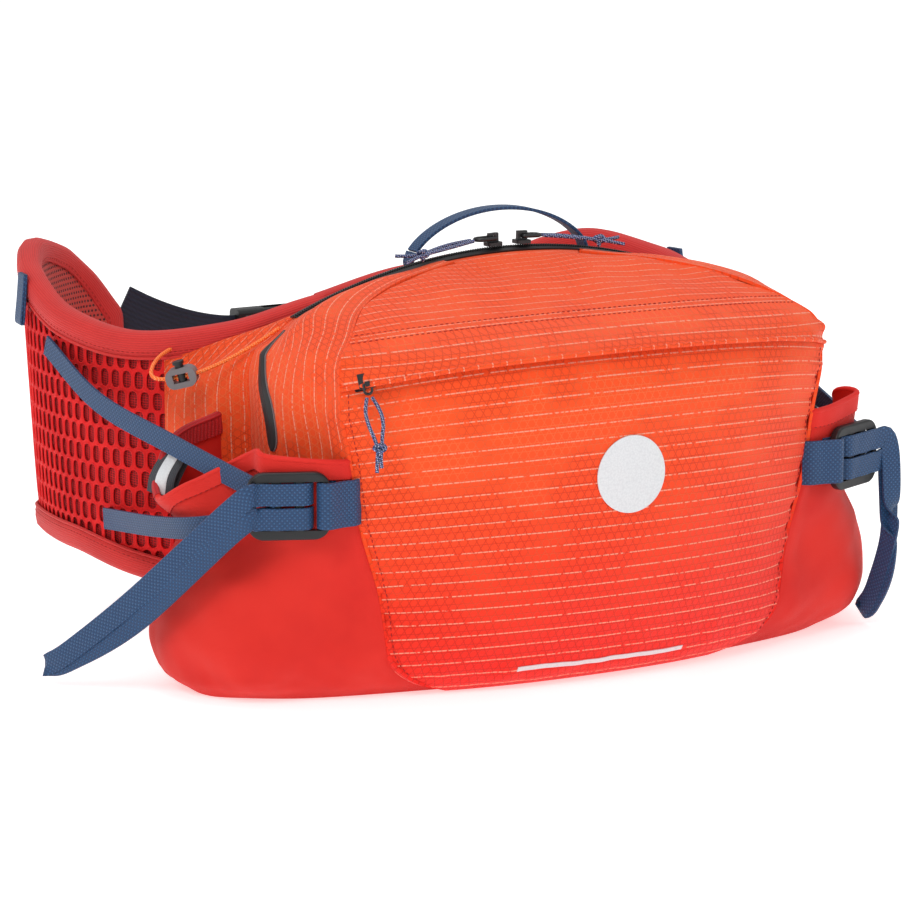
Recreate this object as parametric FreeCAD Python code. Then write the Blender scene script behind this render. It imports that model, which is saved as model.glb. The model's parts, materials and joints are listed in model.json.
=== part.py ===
# Waist pack: a zipped lumbar pack on a padded hip belt, with two stretch bottle pockets.
# Units are millimetres. +Z is up, the pack's front faces -Y and the wearer stands on the +Y side.
# The origin is on the ground, under the middle of the pack's flat base.
import FreeCAD, Part
import math
import os

V = FreeCAD.Vector

# ---- Driving dimensions ----
packHeight = 221.0        # ground to the flat on top of the main compartment
packWidth = 328.0         # widest, across the side panels
frontReach = 94.0         # origin to the furthest bulge of the front panel
backReach = 50.0          # origin to the main compartment's back wall
fabricWall = 2.6          # laminated shell fabric with its lining
skinGap = 0.3             # air left between sewn layers

zipPlane = 36.0           # Y of the main zip's centre line
zipRadius = 325.0         # arc of the main zip over the top
zipHalfAngle = 24.0       # degrees of that arc each side of the middle
zipTapeWidth = 12.0
zipTapeThick = 1.0
zipCoilWidth = 3.4
zipCoilHeight = 1.2

stashRadius = 390.0       # arc of the stash pocket's zip across the front
stashHalfAngle = 22.0
stashApexZ = 186.0
stashSlope = 0.417        # how far the stash zip's plane falls for each millimetre back
shoulderSlope = 0.62      # rise of the shoulder seams for each millimetre back
stashMouth = 9.0          # height of the slot that the stash zip closes
stashTapeThick = 1.0
flapDepth = 11.0          # storm flap, from its seam to its free edge
flapThick = 1.2
flapStandOff = 6.6        # flap's outer face above the panel

sliderLength = 9.0
sliderWidth = 8.0
pullerWire = 2.2
pullerLength = 12.0
pullerWidth = 8.4
stashRingLength = 6.0
pullCordDiameter = 2.0
knotRadius = 3.3

beltThick = 11.0          # padded belt, outer mesh to inner mesh
meshThick = 1.5
bindingWidth = 8.0
bindingProud = 0.8
lumbarTop = 219.0
lumbarBottom = 14.0
beltStandOff = 1.6        # lumbar pad from the back wall
loopHalfWidth = 214.0     # waist loop, at its widest
loopDepth = 240.0         # lumbar pad to the wing tips
rightDroop = 21.0         # how much lower the right wing's free end hangs
frameSheetThick = 1.2
frameSheetInset = 22.0

pocketHalf = 219.0        # middle to a bottle pocket's furthest bulge
pocketWall = 1.8
pocketFrontY = -49.0
pocketBackY = 59.0
pocketHemWidth = 9.0
mouthFrontZ = 132.0       # pocket mouth where it starts at the front seam
mouthLipZ = 104.0         # pocket mouth at its outer lip
mouthRearZ = 170.0        # pocket mouth where it runs up beside the wing

anchorWebWidth = 25.0
strapWidth = 12.0
webbingThick = 1.6
strapHeight = 111.0       # left ladder lock's centre above the ground
rightLockDrop = 7.0       # how much lower the right one hangs
ladderLength = 44.0
ladderHeight = 36.0
ladderThick = 5.0
ladderBar = 5.0
ladderRail = 5.0
ladderYaw = 24.0          # degrees that the ladder lock faces away from the front
ladderClear = 0.9          # air between a bar and the webbing that turns round it

handleHalfSpan = 56.0
handleRise = 26.0
handleWidth = 10.0
handleThick = 1.8
handleY = 47.4
handleFold = 3.0          # fold line, above the top of the pack

beltWebWidth = 38.0
beltSag = 25.0            # drop of the belt webbing from wing tip to buckle
buckleHeight = 46.0
buckleThick = 12.0
femaleLength = 40.0
maleLength = 22.0
prongLength = 26.0
buckleClear = 0.4

elasticDiameter = 2.2
lockLength = 17.0
lockHeight = 11.0
lockThick = 7.0
lockBore = 3.2
plungerRadius = 2.4
plungerClear = 0.2
plungerTravel = 2.0

emblemRadius = 21.0
patchThick = 0.5
stripHalf = 52.0
stripHeight = 2.6
stripZ = 12.5

# ---- Values that follow from them ----
halfWidth = packWidth / 2
seamY = -frontReach * 0.53
zipCentreZ = packHeight + 2.0 - zipRadius
stashDrop = math.hypot(1.0, stashSlope)
stashDir = V(0, 1.0 / stashDrop, -stashSlope / stashDrop)
stashAxis = V(0, stashSlope / stashDrop, 1.0 / stashDrop)
beltFaceY = backReach + beltStandOff


def export(shape, name):
    """Writes one node, and stops if it isn't made of sound solids."""
    if not shape.Solids or not shape.isValid():
        raise ValueError(name + " is not a valid solid")
    shape.exportStep("parts/" + name + ".step")
    print("%-24s %2d solids %9.0f mm3" % (name, len(shape.Solids), shape.Volume))


def mirrored(shape):
    return shape.mirror(V(0, 0, 0), V(1, 0, 0))


def polyWire(points):
    return Part.makePolygon(list(points) + [points[0]])


def box(low, high):
    return Part.makeBox(high[0] - low[0], high[1] - low[1], high[2] - low[2], V(*low))


def prism(points, direction):
    return Part.Face(polyWire(points)).extrude(direction)


def lerpRows(rows, z):
    """Values between the two rows that z lies between."""
    if z <= rows[0][0]:
        return rows[0][1:]
    for low, high in zip(rows, rows[1:]):
        if z <= high[0]:
            t = (z - low[0]) / (high[0] - low[0])
            return [a + (b - a) * t for a, b in zip(low[1:], high[1:])]
    return rows[-1][1:]


# ---- Main compartment ----
# Each level: height, half width at the front seam, half width at the side, seam Y, front Y, Y of the side.
shareH = packHeight / 221.0
shareW = halfWidth / 164.0
shareF = frontReach / 94.0
bodyLevels = [
    [z * shareH, seam * shareW, side * shareW, sy * shareF, fy * shareF, wideY]
    for z, seam, side, sy, fy, wideY in [
        (0, 84, 90, -42, -50, 0),
        (7, 104, 116, -47, -62, 0),
        (24, 123, 139, -50, -73, 0),
        (58, 129, 150, -50, -87, 0),
        (100, 141, 158, -50, -93, 0),
        (135, 147, 163, -50, -94, 0),
        (160, 152, 164, -50, -92, 0),
        (178, 152, 160, -49, -85, 0),
        (186, 149, 156, -46, -80, 2),
        (195, 138, 148, -36, -62, 6),
        (206, 118, 128, -12, -28, 14),
        (215, 84, 92, 10, 0, 22),
        (221, 40, 44, 25, 20, 29),
    ]
]


def rearHalf(z, side):
    """Half width in the main zip's plane: the zip's own arc over the top, and the side panel below it."""
    shoulder = zipCentreZ + zipRadius * math.cos(math.radians(zipHalfAngle))
    if z >= shoulder:
        return math.sqrt(max(zipRadius ** 2 - (z - zipCentreZ) ** 2, 400.0))
    onArc = zipRadius * math.sin(math.radians(zipHalfAngle))
    share = (shoulder - z) / shoulder
    return min(onArc + (side - onArc) * min(share * 11.0, 1.0), side - 4.0)


def offsetRing(ring, grow):
    """Moves each corner of a counter-clockwise outline out by grow, measured square to its two edges."""
    moved = []
    for i, corner in enumerate(ring):
        before = (corner - ring[i - 1]).normalize()
        after = (ring[(i + 1) % len(ring)] - corner).normalize()
        out = V(before.y + after.y, -before.x - after.x, 0).normalize()
        moved.append(corner + out * (grow / max(out.dot(V(after.y, -after.x, 0)), 0.5)))
    return moved


def bodySection(row, grow):
    z, seam, side, sy, fy, wideY = row
    rear = rearHalf(z, side)
    right = [(seam * share, sy + (fy - sy) * (1 - share ** 2.4), z) for share in (0.4, 0.75)]
    right += [(seam, sy, z), (side, wideY, z), (rear, zipPlane, z), (rear - 7.0, backReach, z)]
    left = [(-x, y, level) for x, y, level in reversed(right)]
    ring = [V(0, fy, z)] + [V(*p) for p in right] + [V(0, backReach, z)] + [V(*p) for p in left]
    return polyWire(offsetRing(ring, grow))


def bodySolid(grow):
    """The main compartment's outer shape, grown or shrunk by a wall."""
    rows = [list(r) for r in bodyLevels]
    rows[0][0] -= grow
    rows[-1][0] += grow
    return Part.makeLoft([bodySection(r, grow) for r in rows], True, True)


def frontPoint(x, z):
    """Y of the front panel at a height and distance from the middle."""
    seam, side, sy, fy, wideY = lerpRows(bodyLevels, z)
    return sy + (fy - sy) * (1 - min(abs(x) / seam, 1.0) ** 2.4)


stashApex = V(0, frontPoint(0, stashApexZ) - 1.0, stashApexZ)
stashCentre = stashApex + stashDir * stashRadius


def sector(centre, axis, start, inner, outer, low, high, angles):
    """A slice of a ring: start points from the centre to the middle of the arc, low and high lie along the axis."""
    first = FreeCAD.Rotation(axis, angles[0]).multVec(start)
    points = [
        centre + first * inner + axis * low,
        centre + first * outer + axis * low,
        centre + first * outer + axis * high,
        centre + first * inner + axis * high,
    ]
    return Part.Face(polyWire(points)).revolve(centre, axis, angles[1] - angles[0])


def stashSector(inner, outer, low, high, angles=None):
    angles = angles or (-stashHalfAngle, stashHalfAngle)
    return sector(stashCentre, stashAxis, stashDir * -1, stashRadius + inner, stashRadius + outer, low, high, angles)


def zipSector(inner, outer, half, angles=None):
    angles = angles or (-zipHalfAngle, zipHalfAngle)
    centre = V(0, zipPlane, zipCentreZ)
    return sector(centre, V(0, 1, 0), V(0, 0, 1), zipRadius + inner, zipRadius + outer, -half, half, angles)


big = 400.0
outerBody = bodySolid(0.0)
innerBody = bodySolid(-fabricWall)
clearBody = bodySolid(skinGap)


def aboveStash():
    """Everything above the stash zip's plane."""
    low = stashApex - stashDir * big
    points = [low + V(-big, 0, 0), low + V(big, 0, 0)]
    points += [p + stashDir * 2 * big for p in reversed(points)]
    return prism(points, stashAxis * big)


def aboveShoulder():
    """Everything above the shoulder seams, which climb from the front corners to the main zip."""
    run = V(0, 1.0, shoulderSlope)
    low = V(0, seamY, stashApexZ - 10.0) - run * big
    points = [low + V(-big, 0, 0), low + V(big, 0, 0)]
    points += [p + run * 2 * big for p in reversed(points)]
    return prism(points, V(0, -shoulderSlope, 1.0) * big)


def shellPanels():
    shell = outerBody.cut(innerBody)
    zipRoom = zipSector(-8.0, 8.0, zipTapeWidth / 2 + skinGap)
    shell = shell.cut(zipRoom)
    slot = stashSector(-14.0, 14.0, -stashMouth / 2, stashMouth / 2)
    shell = shell.cut(slot)
    frontOfZip = box((-big, -big, -big), (big, zipPlane, big))
    upper = shell.common(aboveStash()).common(aboveShoulder()).common(frontOfZip)
    rest = shell.cut(upper)
    front = rest.common(box((-big, -big, -big), (big, seamY, big)))
    rest = rest.common(box((-big, seamY, -big), (big, big, big)))
    backSplit = backReach - fabricWall - 1.0
    back = rest.common(box((-big, backSplit, -big), (big, big, big)))
    rest = rest.common(box((-big, -big, -big), (big, backSplit, big)))
    floorHalf = 84.0 * shareW
    sides = {
        "side_panel_left": rest.common(box((-big, -big, -big), (-floorHalf, big, big))),
        "side_panel_right": rest.common(box((floorHalf, -big, -big), (big, big, big))),
    }
    middle = rest.common(box((-floorHalf, -big, -big), (floorHalf, big, big)))
    bottom = middle.common(box((-big, -big, -big), (big, big, packHeight / 2)))
    gusset = middle.common(box((-big, -big, packHeight / 2), (big, big, big)))
    panels = {"front_panel": front, "upper_panel": upper, "back_wall": back,
              "bottom_panel": bottom, "rear_gusset": gusset, **sides}
    return {name: Part.makeCompound([s for s in p.Solids if s.Volume > 60.0]) for name, p in panels.items()}


def frameSheet():
    """Stiffener inside the back wall."""
    half = rearHalf(packHeight * 0.5, halfWidth) - 14.0 - frameSheetInset * 2
    y = backReach - fabricWall - skinGap - frameSheetThick
    sheet = box((-half, y, frameSheetInset), (half, y + frameSheetThick, packHeight - frameSheetInset * 1.4))
    upright = [e for e in sheet.Edges if abs(e.tangentAt(e.FirstParameter).y) > 0.9]
    return sheet.makeFillet(frameSheetInset, upright).common(bodySolid(-fabricWall - skinGap))


# ---- Zips ----
def mainZipTape():
    """Coated zip over the top, and its two visible ends that run down the side panels."""
    over = zipSector(0.6, 0.6 + zipTapeThick, zipTapeWidth / 2)
    coil = zipSector(0.6 + zipTapeThick, 0.6 + zipTapeThick + zipCoilHeight, zipCoilWidth / 2)
    shoulder = zipCentreZ + zipRadius * math.cos(math.radians(zipHalfAngle))
    foot = mouthFrontZ + 0.5
    lens = []
    for t in (0.0, 0.25, 0.5, 0.75, 1.0):
        bend = math.sin(t * math.pi / 2)
        lens.append(((zipPlane - 1.0) * (1 - bend) + 2.0 * bend, shoulder - 6.0 - (shoulder - 6.0 - foot) * t))
    width = [2.0, 4.4, 5.5, 5.5, 3.0]
    left = [V(0, y - w, z) for (y, z), w in zip(lens, width)]
    right = [V(0, y + w, z) for (y, z), w in zip(lens, width)]
    skin = bodySolid(skinGap + zipTapeThick).cut(clearBody)
    lenses = skin.common(prism([p + V(-big, 0, 0) for p in left + right[::-1]], V(2 * big, 0, 0)))
    keep = [s for s in lenses.Solids if s.Volume > 20.0]
    return Part.makeCompound([over.fuse(coil).removeSplitter()] + keep)


def onMainZip(shape, angle):
    """Turns a shape drawn at the top of the main zip's arc to its place along the arc."""
    turned = shape.copy()
    turned.rotate(V(0, zipPlane, zipCentreZ), V(0, 1, 0), angle)
    return turned


sliderFloor = zipRadius + 0.6 + zipTapeThick + zipCoilHeight + skinGap
sliderAngle = math.degrees(9.0 / zipRadius)


def mainSlider(angle):
    """Slider body with a low bridge that holds its wire puller."""
    z = zipCentreZ + sliderFloor
    body = box((-sliderLength / 2, zipPlane - sliderWidth / 2, z), (sliderLength / 2, zipPlane + sliderWidth / 2, z + 2.0))
    upright = [e for e in body.Edges if abs(e.tangentAt(e.FirstParameter).z) > 0.9]
    body = body.makeFillet(1.8, upright)
    bridgeWidth = 2.4
    bridge = box((-3.0, zipPlane - bridgeWidth / 2, z + 1.5), (3.0, zipPlane + bridgeWidth / 2, z + 7.0))
    eye = Part.makeCylinder(pullerWire / 2 + 0.35, bridgeWidth * 2, V(0, zipPlane - bridgeWidth, z + 4.2), V(0, 1, 0))
    return onMainZip(body.fuse(bridge).cut(eye).removeSplitter(), angle)


def ringPuller(length, width, wire):
    """Flat wire loop in the XY plane, with its hinge bar on the Y axis at X=0 and its far end at -X."""
    half = width / 2 - wire / 2
    run = length - wire / 2 - half
    bar = Part.makeCylinder(wire / 2, 2 * half, V(0, -half, 0), V(0, 1, 0))
    ends = [Part.makeSphere(wire / 2, V(0, s * half, 0)) for s in (-1, 1)]
    legs = [Part.makeCylinder(wire / 2, run, V(0, s * half, 0), V(-1, 0, 0)) for s in (-1, 1)]
    bend = Part.makeTorus(half, wire / 2, V(-run, 0, 0), V(0, 0, 1))
    bend = bend.common(box((-run - width, -width, -wire), (-run, width, wire)))
    shape = bar
    for piece in ends + legs + [bend]:
        shape = shape.fuse(piece)
    return shape.removeSplitter()


def cordTube(points, diameter, name):
    """Round cord along straight runs joined by tangent arcs, each as large as its runs allow."""
    points = [V(*p) for p in points]
    edges, at, radii = [], points[0], []
    for a, b, c in zip(points, points[1:], points[2:]):
        into, out = (b - a), (c - b)
        short = min(into.Length, out.Length)
        into.normalize()
        out.normalize()
        half = math.acos(max(-1.0, min(1.0, into.dot(out)))) / 2
        cut = 0.45 * short
        radii.append(cut / math.tan(half))
        start, end = b - into * cut, b + out * cut
        middleWay = out - into
        middleWay.normalize()
        centre = b + middleWay * (radii[-1] / math.cos(half))
        middle = centre + (b - centre).normalize() * radii[-1]
        edges.append(Part.LineSegment(at, start).toShape())
        edges.append(Part.Arc(start, middle, end).toShape())
        at = end
    edges.append(Part.LineSegment(at, points[-1]).toShape())
    path = Part.Wire(edges)
    ring = Part.Wire([Part.Circle(points[0], points[1] - points[0], diameter / 2).toShape()])
    tube = path.makePipeShell([ring], True, True)
    share = tube.Volume / (math.pi * diameter ** 2 / 4 * path.Length)
    print("%-24s %.1f mm long, radii %s, volume share %.3f"
          % (name, path.Length, ["%.1f" % r for r in radii], share))
    return tube


def moveAll(points, by):
    return [tuple(a + b for a, b in zip(p, by)) for p in points]


# Zip pull cords: two legs from the puller, through one knot, to two short tails.
# Points run along -X from the puller's far end for the left main slider.
mainPullLegs = [
    [(0, 1.6, -0.3), (-8, 2.2, -0.8), (-17, 1.6, -1.7), (-26, -1.2, -2.8), (-34, -3.9, -4.0), (-42, -3.4, -4.2), (-49, -1.0, -3.6)],
    [(0, -1.6, -0.3), (-9, -4.2, -0.9), (-18, -5.9, -1.8), (-27, -6.0, -2.9), (-34, -6.1, -4.0), (-41, -8.0, -5.0), (-47, -11.2, -6.2)],
]
mainKnotAt = (-34, -5, -4.0)
# The stash pull hangs down in front of the panel: points run down from the puller, -Y is away from the panel.
stashPullLegs = [
    [(-1.4, 0, 0), (-4.0, -4.4, -5), (-3.8, -8.2, -12), (-1.9, -10.4, -19), (-0.9, -12.0, -25), (-2.4, -13.0, -31), (-3.4, -13.4, -37)],
    [(1.4, 0, 0), (4.2, -4.8, -6), (4.3, -8.6, -13), (2.4, -10.4, -19), (1.1, -12.0, -25), (-0.4, -12.8, -30), (-0.6, -13.0, -35)],
]
stashKnotAt = (0, -12.0, -25)


def pullCord(legs, knotAt, name):
    tubes = [cordTube(leg, pullCordDiameter, name) for leg in legs]
    knot = Part.makeSphere(knotRadius, V(*knotAt))
    return Part.makeCompound([t.cut(knot) for t in tubes] + [knot])


def mainPullGroup(name):
    """Puller and cord, drawn at the top of the arc and pointing left."""
    pivot = V(0, zipPlane, zipCentreZ + sliderFloor + 4.2)
    ring = ringPuller(pullerLength, pullerWidth, pullerWire)
    ring.translate(pivot)
    start = pivot + V(-pullerLength - pullCordDiameter / 2 - 0.2, 0, 0)
    legs = [moveAll(leg, start) for leg in mainPullLegs]
    knot = tuple(a + b for a, b in zip(mainKnotAt, start))
    return ring, pullCord(legs, knot, name)


def onStashZip(shape, angle):
    turned = shape.copy()
    turned.rotate(stashCentre, stashAxis, angle)
    return turned


stashSliderAngle = -stashHalfAngle + 0.9
stashPivotLift = 4.0      # puller's hinge bar above the stash zip's arc


def stashSlider():
    """Slider on the stash zip, drawn at the arc's apex; outwards is away from the arc's centre."""
    body = stashSector(0.6, 2.4, -sliderWidth / 2, sliderWidth / 2, (-0.62, 0.62))
    bridge = stashSector(2.0, 5.6, -3.6, -1.0, (-0.18, 0.18))
    at = stashCentre - stashDir * (stashRadius + stashPivotLift) - stashAxis * 2.3
    eye = Part.makeCylinder(0.95, sliderWidth, at - V(sliderWidth / 2, 0, 0), V(1, 0, 0))
    return body.fuse(bridge).cut(eye).removeSplitter()


def stashPullGroup(name):
    pivot = stashCentre - stashDir * (stashRadius + stashPivotLift) - stashAxis * 2.3
    pull = ringPuller(stashRingLength, 5.6, 1.4)
    pull.rotate(V(0, 0, 0), V(0, 0, 1), 90)
    pull.rotate(V(0, 0, 0), V(1, 0, 0), 90)
    pull.translate(pivot)
    start = pivot + V(0, -0.8, -stashRingLength - pullCordDiameter / 2 - 0.2)
    legs = [moveAll(leg, start) for leg in stashPullLegs]
    knot = tuple(a + b for a, b in zip(stashKnotAt, start))
    return pull, pullCord(legs, knot, name)


def stormFlap():
    """Flap over the stash zip: sewn above the slot, with a free lower edge that hangs over it."""
    angles = (-stashHalfAngle, stashHalfAngle)
    band = stashSector(-30.0, 30.0, 0.6, flapDepth, angles)
    root = stashSector(-30.0, 30.0, flapDepth - 3.0, flapDepth, angles)
    outer = bodySolid(flapStandOff + flapThick)
    hanging = outer.cut(bodySolid(flapStandOff)).common(band)
    sewn = outer.cut(clearBody).common(root)
    front = box((-big, -big, -big), (big, seamY + 2.0, big))
    room = stashSector(-6.0, 1.0, -stashMouth / 2, stashMouth / 2)
    parked = stashSector(-2.0, 8.5, -12.0, 4.6, (-stashHalfAngle - 1.0, -stashHalfAngle + 2.6))
    track = stashSector(-1.0, 3.6, -sliderWidth / 2 - 0.5, sliderWidth / 2 + 0.5)
    flap = hanging.fuse(sewn).common(front).cut(room).cut(parked).cut(track).removeSplitter()
    return Part.makeCompound([s for s in flap.Solids if s.Volume > 60.0])


# ---- Padded hip belt ----
# Plan of the belt's outer face, from the middle of the back round to a wing's tip.
beltPlan = [V(x * loopHalfWidth / 219.0, beltFaceY + y * loopDepth / 240.0, 0) for x, y in [
    (110, 3), (160, 21), (199, 60), (218, 108), (217, 160), (195, 204), (160, 232), (120, 240)]]
# Each row: share of the wing's length, height of its top edge, height of its bottom edge.
wingEdges = [
    (0.0, 203, 22), (0.15, 189, 34), (0.31, 182, 46), (0.46, 189, 54), (0.61, 206, 54),
    (0.75, 215, 50), (0.86, 207, 56), (0.94, 190, 72), (1.0, 164, 98),
]
wingCurve = Part.BSplineCurve()
wingCurve.interpolate(Points=beltPlan)


def wingPlace(share):
    """Point on the wing's outer face in plan, and the outward direction there."""
    first, last = wingCurve.FirstParameter, wingCurve.LastParameter
    at = wingCurve.parameterAtDistance(wingCurve.length() * share, first) if share < 1.0 else last
    along = wingCurve.tangent(at)[0]
    out = V(along.y, -along.x, 0)
    return wingCurve.value(at), out.normalize()


def droopAt(share, droop):
    """Drop of a wing's edges, growing from its root to its turn."""
    t = min(max((share - 0.25) / 0.45, 0.0), 1.0)
    return droop * t * t * (3 - 2 * t)


def wingSolid(low, high, inset, tipInset, droop, stations=15):
    """Part of a wing between two depths below its outer face, with its edges pulled in by inset."""
    length = wingCurve.length()
    last = 1.0 - tipInset / length
    wires = []
    for i in range(stations):
        share = last * i / (stations - 1.0)
        place, out = wingPlace(share)
        top, bottom = lerpRows(wingEdges, share)
        drop = droopAt(share, droop)
        top, bottom = top - inset - drop, bottom + inset - drop
        near, far = place - out * low, place - out * high
        wires.append(polyWire([near + V(0, 0, bottom), far + V(0, 0, bottom), far + V(0, 0, top), near + V(0, 0, top)]))
    return Part.makeLoft(wires, True, True)


def lumbarSolid(low, high, inset):
    """Middle of the belt between two depths behind its front face."""
    rise = lumbarTop - wingEdges[0][1]
    drop = wingEdges[0][2] - lumbarBottom
    wires = []
    startX = beltPlan[0].x
    for i in range(9):
        x = startX * (i / 4.0 - 1.0)
        share = (x / startX) ** 2
        y = beltFaceY + (beltPlan[0].y - beltFaceY) * share
        top = lumbarTop - rise * share - inset
        bottom = lumbarBottom + drop * share + inset
        wires.append(polyWire([V(x, y + low, bottom), V(x, y + high, bottom), V(x, y + high, top), V(x, y + low, top)]))
    return Part.makeLoft(wires, True, True).cut(clearBody)


def wingPieces(droop):
    """Right wing's foam, outer mesh, inner mesh and edge binding."""
    rim = bindingWidth + skinGap
    foam = wingSolid(meshThick + skinGap, beltThick - meshThick - skinGap, rim, rim, droop)
    outerMesh = wingSolid(0.0, meshThick, rim, rim, droop)
    innerMesh = wingSolid(beltThick - meshThick, beltThick, rim, rim, droop)
    frame = wingSolid(-bindingProud, beltThick + bindingProud, 0.0, 0.0, droop)
    window = wingSolid(-5.0, beltThick + 5.0, bindingWidth, bindingWidth, droop)
    root = box((beltPlan[0].x + skinGap, -big, -big), (big, big, big))
    return [piece.common(root) for piece in (foam, outerMesh, innerMesh, frame.cut(window))]


def beltParts():
    rim = bindingWidth + skinGap
    lumbarFrame = lumbarSolid(0.0, beltThick + bindingProud, 0.0)
    lumbarBinding = lumbarFrame.cut(lumbarSolid(-20.0, beltThick + 20.0, bindingWidth))
    trim = box((-beltPlan[0].x + skinGap, -big, -big), (beltPlan[0].x - skinGap, big, big))
    lumbarMesh = lumbarSolid(beltThick - meshThick, beltThick, rim).common(trim)
    right = wingPieces(rightDroop)
    left = [mirrored(piece) for piece in wingPieces(0.0)]
    rims = lumbarBinding.common(trim).Solids + right[3].Solids + left[3].Solids
    return {
        "lumbar_foam": lumbarSolid(0.0, beltThick - meshThick - skinGap, rim).common(trim),
        "wing_foam_right": right[0],
        "wing_foam_left": left[0],
        "wing_mesh_right": right[1],
        "wing_mesh_left": left[1],
        "belt_inner_mesh": Part.makeCompound([lumbarMesh, right[2], left[2]]),
        "belt_binding": Part.makeCompound(rims),
    }


# ---- Bottle pockets ----
# Each level: height, furthest reach from the middle, how far the front and back pull in,
# and how far the upper strap presses the front corner in.
pocketLevels = [
    (0.0, pocketHalf - 19.0, 13.0, 0.0), (9.0, pocketHalf - 8.0, 7.0, 0.0), (32.0, pocketHalf, 0.0, 0.0),
    (62.0, pocketHalf - 6.0, 0.0, 0.0), (88.0, pocketHalf - 15.0, 0.0, 4.0), (106.0, pocketHalf - 2.0, 0.0, 15.0),
    (125.0, pocketHalf - 3.0, 0.0, 17.0), (185.0, pocketHalf - 12.0, 0.0, 17.0),
]


def pocketSection(z, outer, pinch, tuck, grow):
    """One level of the right pocket: its outer wall bulges away from the side panel."""
    seam = lerpRows(bodyLevels, z)[0]
    front, back = pocketFrontY + pinch, pocketBackY - pinch * 0.5
    points = [
        (seam - 20.0, front), (seam + 4.0, front), (seam * 0.4 + outer * 0.6, front + 15.0),
        (outer - 11.0 - tuck, front + 36.0), (outer - 0.4 * tuck, 14.0), (outer - 1.0, 34.0),
        (outer - 13.0, back - 6.0), (seam + 14.0, back), (seam - 20.0, back),
    ]
    return polyWire(offsetRing([V(x, y, z) for x, y in points], grow))


def pocketBlock(grow, lift):
    wires = []
    for z, outer, pinch, tuck in pocketLevels:
        wires.append(pocketSection(z + (lift if z == 0.0 else 0.0), outer, pinch, tuck, grow))
    return Part.makeLoft(wires, True, True)


# Rim of the pocket mouth, seen from the side: it dips at the outer lip and climbs beside the wing.
mouthLine = [
    (pocketFrontY - 30.0, mouthFrontZ - 4.0), (pocketFrontY, mouthFrontZ), (-24.0, mouthFrontZ + 5.0),
    (12.0, mouthLipZ + 12.0), (36.0, mouthLipZ), (47.0, mouthLipZ + 9.0), (pocketBackY, mouthRearZ - 26.0),
    (pocketBackY + 12.0, mouthRearZ),
]


def belowMouth(drop):
    """Everything under the pocket's mouth, lowered by drop."""
    points = [V(0, y, z - drop) for y, z in mouthLine]
    points += [V(0, mouthLine[-1][0], -big), V(0, mouthLine[0][0], -big)]
    return prism(points, V(big, 0, 0))


def pocketParts():
    clear = bodySolid(skinGap * 2)
    wings = wingSolid(-bindingProud - skinGap, beltThick + 20.0, -skinGap, 0.0, 0.0)
    wings = wings.fuse(lumbarSolid(-skinGap, beltThick + 20.0, -skinGap))
    wall = pocketBlock(0.0, 0.0).cut(pocketBlock(-pocketWall, pocketWall)).cut(clear).cut(wings)
    body = wall.common(belowMouth(pocketHemWidth))
    thick = pocketBlock(0.8, 0.0).cut(pocketBlock(-pocketWall - 0.2, 0.0)).cut(clear).cut(wings)
    hem = thick.common(belowMouth(0.0)).cut(belowMouth(pocketHemWidth - skinGap))
    body = Part.makeCompound([s for s in body.Solids if s.Volume > 500.0])
    hem = Part.makeCompound([s for s in hem.Solids if s.Volume > 60.0])
    return body, hem


# ---- Webbing and hardware ----
def band(stations, width, thick):
    """Flat webbing through stations of (centre, width direction), lofted from rectangles."""
    wires = []
    centres = [V(*c) for c, w in stations]
    for i, (centre, across) in enumerate(stations):
        along = centres[min(i + 1, len(centres) - 1)] - centres[max(i - 1, 0)]
        across = V(*across).normalize()
        face = along.cross(across).normalize()
        a, f = across * (width / 2), face * (thick / 2)
        c = centres[i]
        wires.append(polyWire([c - a - f, c + a - f, c + a + f, c - a + f]))
    return Part.makeLoft(wires, True, True)


ladderTurn = FreeCAD.Rotation(V(0, 0, 1), ladderYaw)
seamAt = V(lerpRows(bodyLevels, strapHeight)[0], seamY, strapHeight)
ladderPivot = seamAt + V(18.0, -0.6, 0)


def ladderPoint(x, y, z):
    """Right ladder lock's own axes: X away from the anchor bar, -Y outwards, Z up."""
    return ladderPivot + ladderTurn.multVec(V(x, y, z))


barPositions = (0.0, 14.0, 26.0)


def ladderLock():
    """Two-slot ladder lock: an end bar in the anchor loop, two grip bars, and a rounded thumb end."""
    half = ladderHeight / 2
    inner = half - ladderRail
    frame = box((-ladderBar / 2, -ladderThick / 2, -half), (ladderLength - ladderBar / 2, ladderThick / 2, half))
    edges = [e for e in frame.Edges if abs(e.tangentAt(e.FirstParameter).y) > 0.9]
    frame = frame.makeFillet(9.0, edges)
    start = ladderBar / 2
    for end in barPositions[1:]:
        frame = frame.cut(box((start, -ladderThick, -inner), (end - ladderBar / 2, ladderThick, inner)))
        start = end + ladderBar / 2
    last = ladderLength - ladderBar * 1.5
    frame = frame.cut(box((start, -ladderThick, -inner + 0.2), (last, ladderThick, inner - 0.2)))
    frame = frame.cut(box((-ladderBar, -ladderThick, -big), (ladderBar / 2, ladderThick, -inner)).common(
        box((-ladderBar, -ladderThick, -big), (-ladderBar / 2, ladderThick, big))))
    edges = [e for e in frame.Edges if abs(e.tangentAt(e.FirstParameter).z) > 0.9 and e.Length > inner]
    frame = frame.makeFillet(1.2, edges)
    frame.Placement = FreeCAD.Placement(ladderPivot, ladderTurn)
    return frame


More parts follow.
